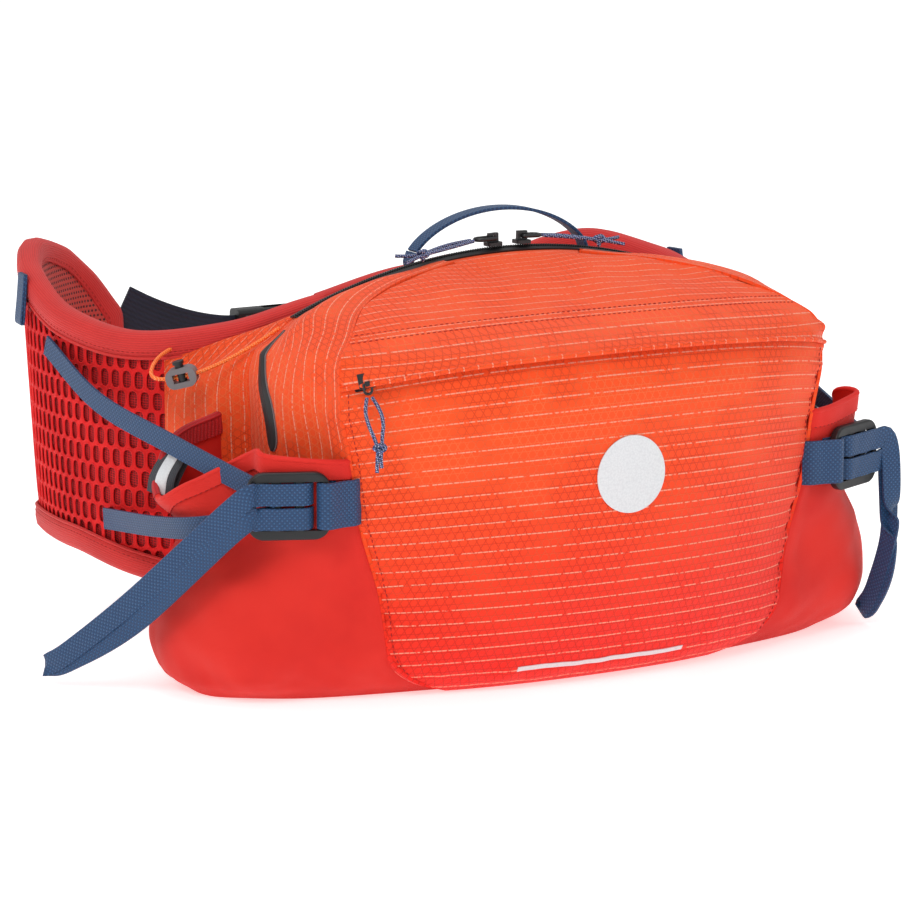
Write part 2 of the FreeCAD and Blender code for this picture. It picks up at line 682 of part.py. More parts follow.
def anchorWebbing():
    """Wide webbing from the side seam, round the ladder lock's end bar and back."""
    gap = ladderBar / 2 + ladderClear + webbingThick / 2
    turnThick = ladderThick / 2 + ladderClear + webbingThick / 2
    up = (0, 0, 1)
    front = [seamAt + V(1.5, -2.6, 0), seamAt + V(9.0, -3.2, 0), ladderPoint(-2.0, -turnThick, 0)]
    bend = [ladderPoint(gap * math.sin(a) * 0.98, -turnThick * math.cos(a), 0)
            for a in (math.radians(20), math.radians(55), math.radians(90), math.radians(125), math.radians(160))]
    back = [ladderPoint(-2.0, turnThick, 0), seamAt + V(11.0, 1.6, 0)]
    return band([(tuple(p), up) for p in front + bend + back], anchorWebWidth, webbingThick).cut(clearBody)


def wingAnchor(share, height, lift):
    place, out = wingPlace(share)
    return place + out * (lift + bindingProud) + V(0, 0, height)


def vStrap(upper, droop):
    """One narrow strap of the right V, from the wing's outer face to the ladder lock's grip bar."""
    sign = 1.0 if upper else -1.0
    grip = barPositions[2] + ladderBar / 2
    end = ladderPoint(grip + 3.0, (ladderThick / 2 + ladderClear + webbingThick / 2) * 0.2, sign * 6.6)
    if upper:
        root = wingAnchor(0.50, 168.0 - droopAt(0.50, droop), webbingThick)
        mid = [end * 0.62 + root * 0.38 + V(7.5, 0, 2.0), end * 0.28 + root * 0.72 + V(6.5, 0, 1.0)]
    else:
        root = wingAnchor(0.36, 77.0 - droopAt(0.36, droop), webbingThick)
        mid = [V(pocketHalf - 7.4, -4.0, strapHeight - 15.0), V(pocketHalf - 6.0, 44.0, strapHeight - 23.0)]
    stations = [end] + mid + [root]
    made = []
    for i, p in enumerate(stations):
        along = stations[min(i + 1, 3)] - stations[max(i - 1, 0)]
        across = V(0, 0, 1) - along * (along.z / along.dot(along))
        made.append((tuple(p), tuple(across)))
    return band(made, strapWidth, webbingThick).cut(ladderLock())


def pullLoop(tip, sideStep, flare):
    """Pull loop of the right ladder lock: two legs of one strap that meet in a fold at tip."""
    outer = ladderThick / 2 + ladderClear + webbingThick / 2
    legs = []
    for sign in (1.0, -1.0):
        start = ladderPoint(barPositions[2] - 1.0, -outer, sign * 6.6)
        leave = ladderPoint(ladderLength + 3.0, -outer - 2.0, sign * 6.6 - 4.0)
        mid = leave * 0.45 + tip * 0.55 + V(*flare) + V(0, 0, sign * sideStep)
        end = tip + V(0, 0, sign * 2.0)
        stations = []
        points = [start, leave, mid, end]
        for i, p in enumerate(points):
            along = points[min(i + 1, 3)] - points[max(i - 1, 0)]
            across = V(0, 0, 1) - along * (along.z / along.dot(along))
            stations.append((tuple(p + V(0, sign * 1.1, 0)), tuple(across)))
        legs.append(band(stations, strapWidth, webbingThick))
    return legs[0].fuse(legs[1]).removeSplitter().cut(ladderLock())


def wingLoop(droop):
    """Short folded gear loop sewn under the binding, on the wing's outer face where it turns."""
    place, out = wingPlace(0.585)
    top = place + out * (bindingProud + 2.0) + V(0, 0, 203.0 - droopAt(0.585, droop))
    drop = top + out * 3.5 + V(0, 0, -27.0)
    along = V(-out.y, out.x, 0)
    return band([(tuple(top), tuple(along)), (tuple((top + drop) * 0.5 + out * 0.8), tuple(along)),
                 (tuple(drop), tuple(along))], strapWidth, webbingThick * 2)


def pocketTab():
    """Reflective loop sewn into the pocket's mouth."""
    low = V(pocketHalf - 7.0, 42.0, mouthLipZ + 3.0)
    top = low + V(-13.0, 5.0, 19.0)
    across = (0.55, 0.83, 0)
    return band([(tuple(low), across), (tuple((low + top) * 0.5 + V(3.0, -2.0, 0)), across), (tuple(top), across)],
                strapWidth + 4.0, 1.2)


def carryHandle():
    """Arched webbing handle above its fold line, and the two short ends sewn down below it."""
    stations = []
    for i in range(17):
        a = math.pi * i / 16.0
        x = -handleHalfSpan * math.cos(a)
        z = packHeight - 2.0 + handleRise * math.sin(a) ** 1.3
        stations.append(((x, handleY, z), (0, 1, 0)))
    whole = band(stations, handleWidth, handleThick).cut(clearBody)
    above = box((-big, -big, packHeight + handleFold), (big, big, big))
    return whole.common(above), whole.cut(above)


# ---- Belt webbing and side-release buckle ----
tipPlace, tipOut = wingPlace(0.93)
buckleY = tipPlace.y - beltThick / 2 + 3.0
webTopZ = 160.0
buckleZ = webTopZ - beltSag


def beltWebbing(fromX, droop):
    """Right belt webbing, from inside the wing's tip to a buckle bar at fromX."""
    start = V(beltPlan[-1].x - 4.0, buckleY, webTopZ - droop)
    end = V(fromX, buckleY, buckleZ)
    stations = []
    for t in (0.0, 0.3, 0.6, 0.85, 1.0):
        x = start.x + (end.x - start.x) * t
        z = end.z + (start.z - end.z) * (1 - t) ** 1.8
        stations.append(((x, buckleY, z), (0.22 * (1 - t), 0, 1)))
    return band(stations, beltWebWidth, webbingThick)


def femaleBuckle():
    """Socket half on the left, open towards +X."""
    half, deep = buckleHeight / 2, buckleThick / 2
    body = box((-femaleLength, -deep, -half), (0, deep, half))
    edges = [e for e in body.Edges if abs(e.tangentAt(e.FirstParameter).x) > 0.9]
    body = body.makeFillet(3.0, edges)
    cavity = box((-prongLength - 2.0, -deep + 2.2, -half + 3.0), (1.0, deep - 2.2, half - 3.0))
    windows = [box((-prongLength + 4.0, -deep + 2.2, s * half - 6.0), (-8.0, deep - 2.2, s * half + 6.0)) for s in (-1, 1)]
    slot = box((-femaleLength + 4.5, -big, -beltWebWidth / 2 - 0.5), (-femaleLength + 8.5, big, beltWebWidth / 2 + 0.5))
    for cut in [cavity, slot] + windows:
        body = body.cut(cut)
    body.translate(V(0, buckleY, buckleZ))
    return body


def maleBuckle():
    """Plug half: base with two webbing slots, two outer prongs and a guide tongue."""
    half, deep = buckleHeight / 2, buckleThick / 2
    thin = deep - 2.2 - buckleClear
    base = box((buckleClear, -deep + 1.0, -half), (maleLength, deep - 1.0, half))
    edges = [e for e in base.Edges if abs(e.tangentAt(e.FirstParameter).x) > 0.9]
    base = base.makeFillet(2.5, edges)
    for x in (8.0, 15.5):
        base = base.cut(box((x, -big, -beltWebWidth / 2 - 0.5), (x + 4.0, big, beltWebWidth / 2 + 0.5)))
    prongHeight = 5.0
    edge = half - 3.0 - buckleClear
    prongs = [box((-prongLength + 1.0, -thin, min(s * edge, s * (edge - prongHeight))),
                  (1.0, thin, max(s * edge, s * (edge - prongHeight)))) for s in (-1, 1)]
    tongue = box((-prongLength + 8.0, -thin, -3.0), (1.0, thin, 3.0))
    for piece in prongs + [tongue]:
        base = base.fuse(piece)
    base = base.removeSplitter()
    base.translate(V(0, buckleY, buckleZ))
    return base


def beltTail():
    """Free end of the belt webbing, hanging from the plug half."""
    x = maleLength - 4.0
    y = buckleY + buckleThick / 2 + 1.0
    points = [(x, y, buckleZ), (x + 12.0, y + 3.0, buckleZ - 3.0), (x + 34.0, y + 5.0, buckleZ - 22.0),
              (x + 46.0, y + 4.0, buckleZ - 48.0)]
    across = [(0, 0, 1), (0.2, 0, 1), (0.75, 0, 0.66), (1, 0, 0.35)]
    return band(list(zip(points, across)), beltWebWidth - 2.0, webbingThick)


# ---- Elastic cords and their locks ----
# Route of each elastic cord: from the belt's top binding, through the cord lock, to the pack's shoulder.
elasticLeft = [(-178, 92, 175), (-192, 87, 172), (-203, 72, 160), (-172, 46, 170.5), (-139, 41.5, 190)]
elasticRight = [(178, 92, 173), (195, 84, 172), (210, 66, 165), (176, 43, 175), (139, 41.5, 189)]
lockRun = (2, 3, 0.46)    # the lock sits on the run between these two points, this far along


def lockPlace(route):
    """Middle of the lock's run, and the run's direction, towards the pack."""
    a, b = V(*route[lockRun[0]]), V(*route[lockRun[1]])
    place = a + (b - a) * lockRun[2]
    return place, (b - a).normalize()


def lockFrame(route):
    at, along = lockPlace(route)
    rotation = FreeCAD.Rotation(V(1, 0, 0), along)
    return FreeCAD.Placement(at, rotation)


lockFloor = lockHeight / 2 - 0.7
cordRoom = elasticDiameter / 2 + plungerClear


def cordLock(route):
    """Oval lock body with a cord hole along its length, a window, and a bore for the plunger."""
    body = box((-lockLength / 2, -lockThick / 2, -lockHeight / 2), (lockLength / 2, lockThick / 2, lockHeight / 2))
    edges = [e for e in body.Edges if abs(e.tangentAt(e.FirstParameter).y) > 0.9]
    body = body.makeFillet(4.6, edges)
    hole = Part.makeCylinder(lockBore / 2, lockLength * 2, V(-lockLength, 0, 0), V(1, 0, 0))
    window = box((-lockLength / 2 + 4.0, -lockThick, -2.4), (lockLength / 2 - 4.0, lockThick, 2.4))
    bore = Part.makeCylinder(plungerRadius + plungerClear, lockHeight * 2, V(0, 0, -lockFloor), V(0, 0, 1))
    body = body.cut(hole).cut(window).cut(bore)
    body.Placement = lockFrame(route)
    return body


def lockPlunger(route):
    """Button with a slot across it, which lets go of the cord when it is pressed."""
    foot = -cordRoom - 1.2
    top = lockHeight / 2 + plungerTravel
    stem = Part.makeCylinder(plungerRadius, top - foot, V(0, 0, foot), V(0, 0, 1))
    slot = box((-big, -cordRoom, -cordRoom), (big, cordRoom, cordRoom + plungerTravel))
    cap = Part.makeCylinder(3.2, 1.6, V(0, 0, top), V(0, 0, 1))
    cap = cap.makeFillet(0.5, [cap.Edges[0]])
    plunger = stem.cut(slot).fuse(cap).removeSplitter()
    plunger.Placement = lockFrame(route)
    return plunger


def lockSpring(route):
    """Spring under the plunger, as a plain sleeve."""
    foot, top = -lockFloor + 0.05, -cordRoom - 1.25
    sleeve = Part.makeCylinder(2.1, top - foot, V(0, 0, foot), V(0, 0, 1))
    sleeve = sleeve.cut(Part.makeCylinder(1.5, lockHeight, V(0, 0, -lockHeight), V(0, 0, 1)))
    sleeve.Placement = lockFrame(route)
    return sleeve


# ---- Printed marks ----
def patchOn(outline):
    skin = bodySolid(skinGap + patchThick).cut(clearBody)
    cut = skin.common(outline.common(box((-big, -big, -big), (big, seamY, big))))
    return Part.makeCompound([s for s in cut.Solids if s.Volume > 5.0])


def emblem():
    disc = Part.makeCylinder(emblemRadius, big, V(0, 0, packHeight * 0.54), V(0, -1, 0))
    return patchOn(disc)


def reflectiveStrip():
    z = stripZ
    return patchOn(box((-stripHalf, -big, z - stripHeight / 2), (stripHalf, 0, z + stripHeight / 2)))


def buildAll():
    os.makedirs("parts", exist_ok=True)
    nodes = {}
    nodes.update(shellPanels())
    nodes["frame_sheet"] = frameSheet()
    nodes["main_zip"] = mainZipTape()
    nodes["top_slider_left"] = mainSlider(-sliderAngle)
    nodes["top_slider_right"] = mirrored(nodes["top_slider_left"])
    ring, cord = mainPullGroup("top_pull_cord")
    nodes["top_puller_left"] = onMainZip(ring, -sliderAngle)
    nodes["top_puller_right"] = mirrored(nodes["top_puller_left"])
    nodes["top_pull_cord_left"] = onMainZip(cord, -sliderAngle)
    nodes["top_pull_cord_right"] = mirrored(nodes["top_pull_cord_left"])
    nodes["stash_zip"] = stashSector(-stashTapeThick, 0.0, -stashMouth / 2 + skinGap, stashMouth / 2 - skinGap)
    pull, cord = stashPullGroup("stash_pull_cord")
    nodes["stash_slider"] = onStashZip(stashSlider(), stashSliderAngle)
    nodes["stash_puller"] = onStashZip(pull, stashSliderAngle)
    nodes["stash_pull_cord"] = onStashZip(cord, stashSliderAngle)
    nodes["storm_flap"] = stormFlap()
    nodes.update(beltParts())
    body, hem = pocketParts()
    nodes["bottle_pocket_right"], nodes["bottle_pocket_left"] = body, mirrored(body)
    nodes["pocket_hem_right"], nodes["pocket_hem_left"] = hem, mirrored(hem)
    tab = pocketTab()
    tab = tab.cut(hem)
    nodes["pocket_tabs"] = Part.makeCompound([tab, mirrored(tab)])
    nodes["anchor_webbing_right"] = anchorWebbing()
    nodes["anchor_webbing_left"] = mirrored(nodes["anchor_webbing_right"])
    nodes["ladder_lock_right"] = ladderLock()
    nodes["ladder_lock_left"] = mirrored(nodes["ladder_lock_right"])
    for word, upper in (("upper", True), ("lower", False)):
        strap = vStrap(upper, 0.0)
        nodes[word + "_strap_left"] = mirrored(strap)
        nodes[word + "_strap_right"] = vStrap(upper, rightDroop - rightLockDrop)
    nodes["pull_loop_right"] = pullLoop(V(202.0, -20.0, 16.0), 7.0, (2.0, -12.0, 0.0))
    nodes["pull_loop_left"] = mirrored(pullLoop(V(264.0, 74.0, 12.0), 4.0, (0.0, -6.0, -4.0)))
    nodes["wing_loops"] = Part.makeCompound([wingLoop(rightDroop), mirrored(wingLoop(0.0))])
    nodes["carry_handle"], nodes["handle_ends"] = carryHandle()
    nodes["belt_webbing_right"] = beltWebbing(maleLength + 1.0, rightDroop)
    nodes["belt_webbing_left"] = mirrored(beltWebbing(femaleLength + 1.0, 0.0))
    nodes["buckle_socket"] = femaleBuckle()
    nodes["buckle_plug"] = maleBuckle()
    nodes["belt_tail"] = beltTail()
    for side, route in (("left", elasticLeft), ("right", elasticRight)):
        wing = nodes["wing_mesh_" + side]
        nodes["elastic_cord_" + side] = cordTube(route, elasticDiameter, "elastic_cord_" + side).cut(wing)
        nodes["cord_lock_" + side] = cordLock(route)
        nodes["lock_plunger_" + side] = lockPlunger(route)
        nodes["lock_spring_" + side] = lockSpring(route)
    nodes["emblem"] = emblem()
    nodes["reflective_strip"] = reflectiveStrip()
    for name in ("anchor_webbing", "ladder_lock", "upper_strap", "lower_strap", "pull_loop"):
        nodes[name + "_right"] = nodes[name + "_right"].translated(V(0, 0, -rightLockDrop))
    for side in ("_left", "_right"):
        for name in ("bottle_pocket", "pocket_hem"):
            pressed = nodes[name + side].cut(nodes["upper_strap" + side])
            nodes[name + side] = Part.makeCompound([s for s in pressed.Solids if s.Volume > 60.0])
    for name, shape in nodes.items():
        export(shape, name)
    print(len(nodes), "nodes")


buildAll()
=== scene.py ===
import bmesh
import bpy
import json
import math
import numpy as np
from mathutils import Matrix, Vector

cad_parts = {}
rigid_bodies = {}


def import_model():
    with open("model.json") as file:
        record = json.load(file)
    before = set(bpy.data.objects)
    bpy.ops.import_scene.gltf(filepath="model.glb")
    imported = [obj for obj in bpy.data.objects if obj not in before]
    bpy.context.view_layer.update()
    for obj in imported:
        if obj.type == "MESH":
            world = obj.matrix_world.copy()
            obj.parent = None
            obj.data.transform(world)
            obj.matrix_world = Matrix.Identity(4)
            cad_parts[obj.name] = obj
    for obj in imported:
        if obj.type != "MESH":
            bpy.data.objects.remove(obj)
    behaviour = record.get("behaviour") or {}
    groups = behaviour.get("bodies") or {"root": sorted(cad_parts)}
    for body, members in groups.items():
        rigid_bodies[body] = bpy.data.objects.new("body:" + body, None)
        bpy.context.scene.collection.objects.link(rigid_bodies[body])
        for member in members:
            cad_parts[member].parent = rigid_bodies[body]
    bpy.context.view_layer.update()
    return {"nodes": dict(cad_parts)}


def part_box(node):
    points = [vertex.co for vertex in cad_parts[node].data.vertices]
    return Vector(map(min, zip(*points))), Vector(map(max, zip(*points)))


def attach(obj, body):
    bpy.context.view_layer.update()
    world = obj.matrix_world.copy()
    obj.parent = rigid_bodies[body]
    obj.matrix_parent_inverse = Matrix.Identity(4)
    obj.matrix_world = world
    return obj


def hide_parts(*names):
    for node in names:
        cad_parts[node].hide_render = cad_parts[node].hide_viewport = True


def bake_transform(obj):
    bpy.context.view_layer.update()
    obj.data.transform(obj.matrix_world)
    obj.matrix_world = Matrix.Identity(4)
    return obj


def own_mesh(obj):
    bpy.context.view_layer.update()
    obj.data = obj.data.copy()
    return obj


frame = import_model()
nodes = frame["nodes"]
print("frame loaded:", len(nodes), "nodes")


# a Wire is a socket that can be used in sums
class Wire:
    def __init__(self, paint, socket):
        self.paint = paint
        self.socket = socket

    def maths(self, operation, *values):
        return self.paint.node("ShaderNodeMath", {"operation": operation}, dict(enumerate(values)))

    def __add__(self, other):
        return self.maths("ADD", self, other)

    __radd__ = __add__

    def __sub__(self, other):
        return self.maths("SUBTRACT", self, other)

    def __rsub__(self, other):
        return self.maths("SUBTRACT", other, self)

    def __mul__(self, other):
        return self.maths("MULTIPLY", self, other)

    __rmul__ = __mul__

    def __truediv__(self, other):
        return self.maths("DIVIDE", self, other)

    def __mod__(self, other):
        return self.maths("FLOORED_MODULO", self, other)

    def __abs__(self):
        return self.maths("ABSOLUTE", self)

    def __gt__(self, other):
        return self.maths("GREATER_THAN", self, other)

    def wave(self):
        return self.maths("SINE", self)

    def root(self):
        return self.maths("SQRT", self)

    def top(self, other):
        return self.maths("MAXIMUM", self, other)

    def fade(self, start, end):  # 0 at start, 1 at end
        return self.paint.node("ShaderNodeMapRange", {"interpolation_type": "SMOOTHSTEP"},
                               {0: self, 1: start, 2: end, 3: 0.0, 4: 1.0})

    def lines(self, pitch, width):  # 1 on thin lines every pitch
        away = abs((self / pitch) % 1.0 - 0.5) * pitch
        return 1 - away.fade(width * 0.35, width * 0.75)


class Paint:
    def __init__(self, name):
        self.material = bpy.data.materials.new(name)
        self.material.use_nodes = True
        self.tree = self.material.node_tree
        self.shader = next(n for n in self.tree.nodes if n.type == "BSDF_PRINCIPLED")

    def node(self, kind, settings=None, sockets=None, out=0):
        made = self.tree.nodes.new(kind)
        for key, value in (settings or {}).items():
            setattr(made, key, value)
        for key, value in (sockets or {}).items():
            if isinstance(value, Wire):
                self.tree.links.new(value.socket, made.inputs[key])
            else:
                made.inputs[key].default_value = value
        return Wire(self, made.outputs[out])

    def cloth(self):  # the piece's own UV in millimetres: across, along
        parts = self.node("ShaderNodeSeparateXYZ", {},
                          {0: self.node("ShaderNodeUVMap", {"uv_map": "UVMap"})})
        return parts * 1000.0, Wire(self, parts.socket.node.outputs[1]) * 1000.0

    def place(self):
        return self.node("ShaderNodeTexCoord", {}, {}, out=3)

    def placeParts(self):
        parts = self.node("ShaderNodeSeparateXYZ", {}, {0: self.place()})
        return [Wire(self, parts.socket.node.outputs[i]) * 1000.0 for i in range(3)]

    def grain(self, scale, detail=3.0, place=None):
        return self.node("ShaderNodeTexNoise", {}, {"Vector": place or self.place(), "Scale": scale,
                                                    "Detail": detail})

    def mix(self, share, first, second):
        return self.node("ShaderNodeMix", {"data_type": "RGBA"}, {0: share, 6: first, 7: second}, out=2)

    def finish(self, colour, roughness=0.6, height=None, depth=0.0004, strength=0.6, metallic=0.0, **fixed):
        links = {"Base Color": colour, "Roughness": roughness, "Metallic": metallic}
        if height is not None:
            links["Normal"] = self.node("ShaderNodeBump", {},
                                        {"Height": height, "Strength": strength, "Distance": depth})
        for key, value in links.items():
            if isinstance(value, Wire):
                self.tree.links.new(value.socket, self.shader.inputs[key])
            else:
                self.shader.inputs[key].default_value = value
        for key, value in fixed.items():
            self.shader.inputs[key].default_value = value
        return self.material


def rgb(red, green, blue):
    def straight(value):
        value /= 255.0
        return value / 12.92 if value < 0.04045 else ((value + 0.055) / 1.055) ** 2.4
    return (straight(red), straight(green), straight(blue), 1.0)


# looks of the fabrics, plastics and metals
shellLook = {
    "orange": rgb(252, 82, 26), "coral": rgb(242, 32, 18), "thread": rgb(255, 168, 140),
    "threadPitch": 8.0, "threadWidth": 0.62, "gridPitch": 4.1, "gridWidth": 0.42,
}


def shellCloth(name, upright=False, squares=False, low=0.0, high=170.0):
    paint = Paint(name)
    across, along = paint.cloth()
    if upright:
        across, along = along, across
    x, y, z = paint.placeParts()
    # painted light: the shell runs from coral low down to brighter orange higher up and further left,
    # towards the key lamp, with random blotches in the spread
    paintedLight = (z + paint.grain(9.0) * 40.0 - 20.0 - x * 0.12).fade(low, high)
    base = paint.mix(paintedLight, shellLook["coral"], shellLook["orange"])
    pitch, width = shellLook["gridPitch"], shellLook["gridWidth"]
    if squares:
        grid = across.lines(pitch, width).top(along.lines(pitch, width))
    else:
        rise = along * 0.5
        grid = (across * 0.866 + rise).lines(pitch, width).top((across * 0.866 - rise).lines(pitch, width))
        grid = grid.top(along.lines(pitch, width))
    # the grid lines are painted as a darker shaded copy of the cloth (painted shade), and as a lighter lit
    # copy (painted highlight) in random patches where the painted light is strongest
    dark = paint.mix(0.42, base, rgb(150, 22, 14))
    gridHighlight = paint.mix(0.30, base, rgb(255, 160, 96))
    patchy = paint.grain(26.0, 2.0).fade(0.42, 0.62)
    gridShadeAndHighlight = paint.mix(patchy * paintedLight, dark, gridHighlight)
    base = paint.mix(grid * 0.75, base, gridShadeAndHighlight)
    dash = (paint.grain(420.0, 1.0)).fade(0.34, 0.46) * ((across / 2.9) % 1.0).fade(0.06, 0.16)
    thread = along.lines(shellLook["threadPitch"], shellLook["threadWidth"]) * dash
    base = paint.mix(thread * 0.92, base, shellLook["thread"])
    weave = (across * 11.0).wave() * (along * 11.0).wave() * 0.12
    height = grid * 0.55 + thread * 0.7 + weave + paint.grain(95.0, 2.0) * 0.8
    rough = 0.5 + grid * 0.1 + paint.grain(40.0) * 0.16
    return paint.finish(base, rough, height, 0.00055, 0.75,
                        **{"Sheen Weight": 0.06, "Specular IOR Level": 0.25})


def stretchCloth(name, colour, shade, rib=0.7):
    paint = Paint(name)
    across, along = paint.cloth()
    knit = (across * (6.28 / rib)).wave() * ((along + across * 0.5) * (6.28 / rib)).wave()
    patches = paint.grain(22.0, 3.0).fade(0.3, 0.75)
    base = paint.mix(patches * 0.6, colour, shade)
    base = paint.mix(knit.fade(0.4, 1.0) * 0.16, base, shade)
    return paint.finish(base, 0.62 + patches * 0.1, knit * 0.35 + paint.grain(60.0, 2.0), 0.0004, 0.5,
                        **{"Sheen Weight": 0.04, "Specular IOR Level": 0.25})


def ribbedCloth(name, colour, shade, pitch=1.1, depth=0.0003):
    paint = Paint(name)
    across, along = paint.cloth()
    ribs = (across * (6.28 / pitch)).wave() * 0.5 + 0.5
    pick = (along * (6.28 / 0.9) + (across / pitch) * 3.14).wave() * 0.5 + 0.5
    worn = paint.grain(45.0, 4.0).fade(0.3, 0.8)
    # the valleys between the ribs are mixed towards the shade colour: painted shade in the grooves; worn
    # adds random darker patches of wear
    base = paint.mix((1 - ribs) * 0.45 + worn * 0.25, colour, shade)
    return paint.finish(base, 0.7, ribs * 0.8 + pick * 0.35, depth, 0.7, **{"Sheen Weight": 0.06})


def webbing(name, dark, light, pitch=1.35):
    paint = Paint(name)
    across, along = paint.cloth()
    over = (across * (3.1416 / pitch)).wave() * (along * (3.1416 / pitch)).wave()
    step = (across / pitch) % 2.0 > 1.0
    ridge = abs((along / pitch + step) % 2.0 - 1.0)
    fleck = over.fade(0.25, 0.8)
    worn = paint.grain(60.0, 3.0)
    base = paint.mix(fleck * 0.75 + worn * 0.15, dark, light)
    return paint.finish(base, 0.55, ridge * 0.6 + abs(over) * 0.6, 0.00035, 0.8, **{"Sheen Weight": 0.06})


def spacerBack(name, colour, shade):  # fine dark net under the open mesh; the gaps between its threads take the shade colour, painted shade in the recesses
    paint = Paint(name)
    across, along = paint.cloth()
    net = across.lines(1.5, 0.55).top(along.lines(1.7, 0.5))
    base = paint.mix(net, shade, colour)
    return paint.finish(base, 0.75, net, 0.0006, 0.8)


def holeMesh(name, colour, holeShade, pitch=3.0):
    paint = Paint(name)
    across, along = paint.cloth()
    row = ((along / pitch) % 2.0) > 1.0
    dx = ((across / pitch + row * 0.5) % 1.0 - 0.5) * pitch
    dy = ((along / pitch) % 1.0 - 0.5) * pitch
    away = (dx * dx + dy * dy * 1.3).root()
    rim = away.fade(pitch * 0.20, pitch * 0.36)
    # the openings are painted dark: painted shade inside the holes
    base = paint.mix(rim, holeShade, paint.mix(paint.grain(40.0) * 0.4, colour, rgb(205, 70, 60)))
    return paint.finish(base, 0.72, rim, 0.0007, 0.9, **{"Sheen Weight": 0.06})


def moulded(name, colour, roughness=0.38):
    paint = Paint(name)
    fine = paint.grain(240.0)
    wear = paint.grain(30.0, 4.0).fade(0.5, 0.9)
    base = paint.mix(wear * 0.25, colour, tuple(min(c * 2.2 + 0.01, 1.0) for c in colour[:3]) + (1.0,))
    return paint.finish(base, roughness + fine * 0.14, fine, 0.00012, 0.5)


def flecked(name, dark, light, tint):
    paint = Paint(name)
    x, y, z = paint.placeParts()
    spiral = ((x + y) * 2.2 + z * 3.1 + paint.grain(300.0) * 2.0).wave()
    cross = ((x - y) * 2.6 - z * 2.4).wave()
    base = paint.mix(spiral.fade(0.35, 0.7), dark, tint)
    base = paint.mix((spiral * cross).fade(0.45, 0.8), base, light)
    return paint.finish(base, 0.6, spiral * 0.5 + cross * 0.5, 0.0002, 0.6, **{"Sheen Weight": 0.06})


def zipCloth(name):
    paint = Paint(name)
    across, along = paint.cloth()
    middle = 1 - abs(across).fade(0.3, 0.9)
    base = paint.mix(paint.grain(60.0) * 0.3, rgb(24, 23, 24), rgb(40, 38, 40))
    return paint.finish(base, 0.5, middle * 0.5 + paint.grain(200.0) * 0.2, 0.0004, 0.5)


def plain(name, colour, roughness, metallic=0.0):
    paint = Paint(name)
    fine = paint.grain(180.0)
    base = paint.mix(fine * 0.25, colour, tuple(c * 0.7 for c in colour[:3]) + (1.0,))
    return paint.finish(base, roughness + fine * 0.1, fine, 0.0001, 0.4, metallic)


def brightPatch(name):
    paint = Paint(name)
    beads = paint.node("ShaderNodeTexVoronoi", {}, {"Vector": paint.place(), "Scale": 900.0})
    base = paint.mix(beads * 0.5, rgb(222, 224, 226), rgb(190, 192, 196))
    return paint.finish(base, 0.38 + beads * 0.2, beads, 0.00008, 0.4)


red = rgb(226, 38, 34)
looks = {
    "front": shellCloth("frontShell"),
    "top": shellCloth("topShell", squares=True, low=60.0, high=150.0),
    "band": shellCloth("bandShell", low=60.0, high=150.0),
    "side": shellCloth("sideShell", upright=True, low=20.0, high=120.0),
    "lining": stretchCloth("liningCloth", rgb(170, 176, 182), rgb(140, 146, 152)),
    "pocket": stretchCloth("pocketStretch", rgb(224, 42, 30), rgb(198, 26, 24)),
    "hem": stretchCloth("pocketHem", rgb(228, 44, 34), rgb(198, 28, 26), 1.0),
    "rim": ribbedCloth("pocketRim", rgb(200, 26, 32), rgb(140, 12, 20), 2.2, 0.0006),
    "binding": ribbedCloth("beltBinding", rgb(216, 40, 34), rgb(176, 20, 22), 1.3),
    "spacer": stretchCloth("spacerMesh", rgb(238, 30, 30), rgb(206, 16, 22), 0.8),
    "spacerBack": spacerBack("spacerBack", rgb(206, 14, 20), rgb(120, 4, 10)),
    "innerMesh": holeMesh("innerMesh", rgb(190, 56, 48), rgb(80, 12, 14)),
    "webbing": webbing("blueWebbing", rgb(14, 52, 92), rgb(44, 92, 138)),
    # hip belt webbing: navy, painted darker still as the shadow on its far face behind the pack (painted
    # shadow)
    "belt": ribbedCloth("navyWebbing", rgb(14, 26, 52), rgb(5, 9, 20), 2.6, 0.0006),
    "black": moulded("blackPlastic", rgb(14, 15, 18)),
    "grey": moulded("greyPlastic", rgb(112, 106, 108), 0.42),
    "metal": moulded("sliderBlack", rgb(26, 26, 28), 0.32),
    "spring": plain("springSteel", rgb(180, 182, 186), 0.3, 1.0),
    "zip": zipCloth("zipTape"),
    "coil": plain("zipCoil", rgb(20, 20, 21), 0.45),
    "cord": flecked("pullCord", rgb(28, 44, 82), rgb(206, 206, 222), rgb(84, 104, 160)),
    "elastic": flecked("elasticCord", rgb(250, 110, 20), rgb(255, 190, 120), rgb(238, 84, 10)),
    "stitchDark": plain("stitchRed", rgb(168, 22, 18), 0.7),
    "patch": brightPatch("reflectivePatch"),
    "tabGrey": ribbedCloth("tabGrey", rgb(64, 66, 72), rgb(40, 42, 48)),
    "sheet": plain("stiffenerSheet", rgb(210, 212, 214), 0.5),
}
print("materials ready:", len(looks))


mm = 0.001  # one millimetre in metres
rightFirst = ((1.0, "right"), (-1.0, "left"))
leftFirst = ((-1.0, "left"), (1.0, "right"))


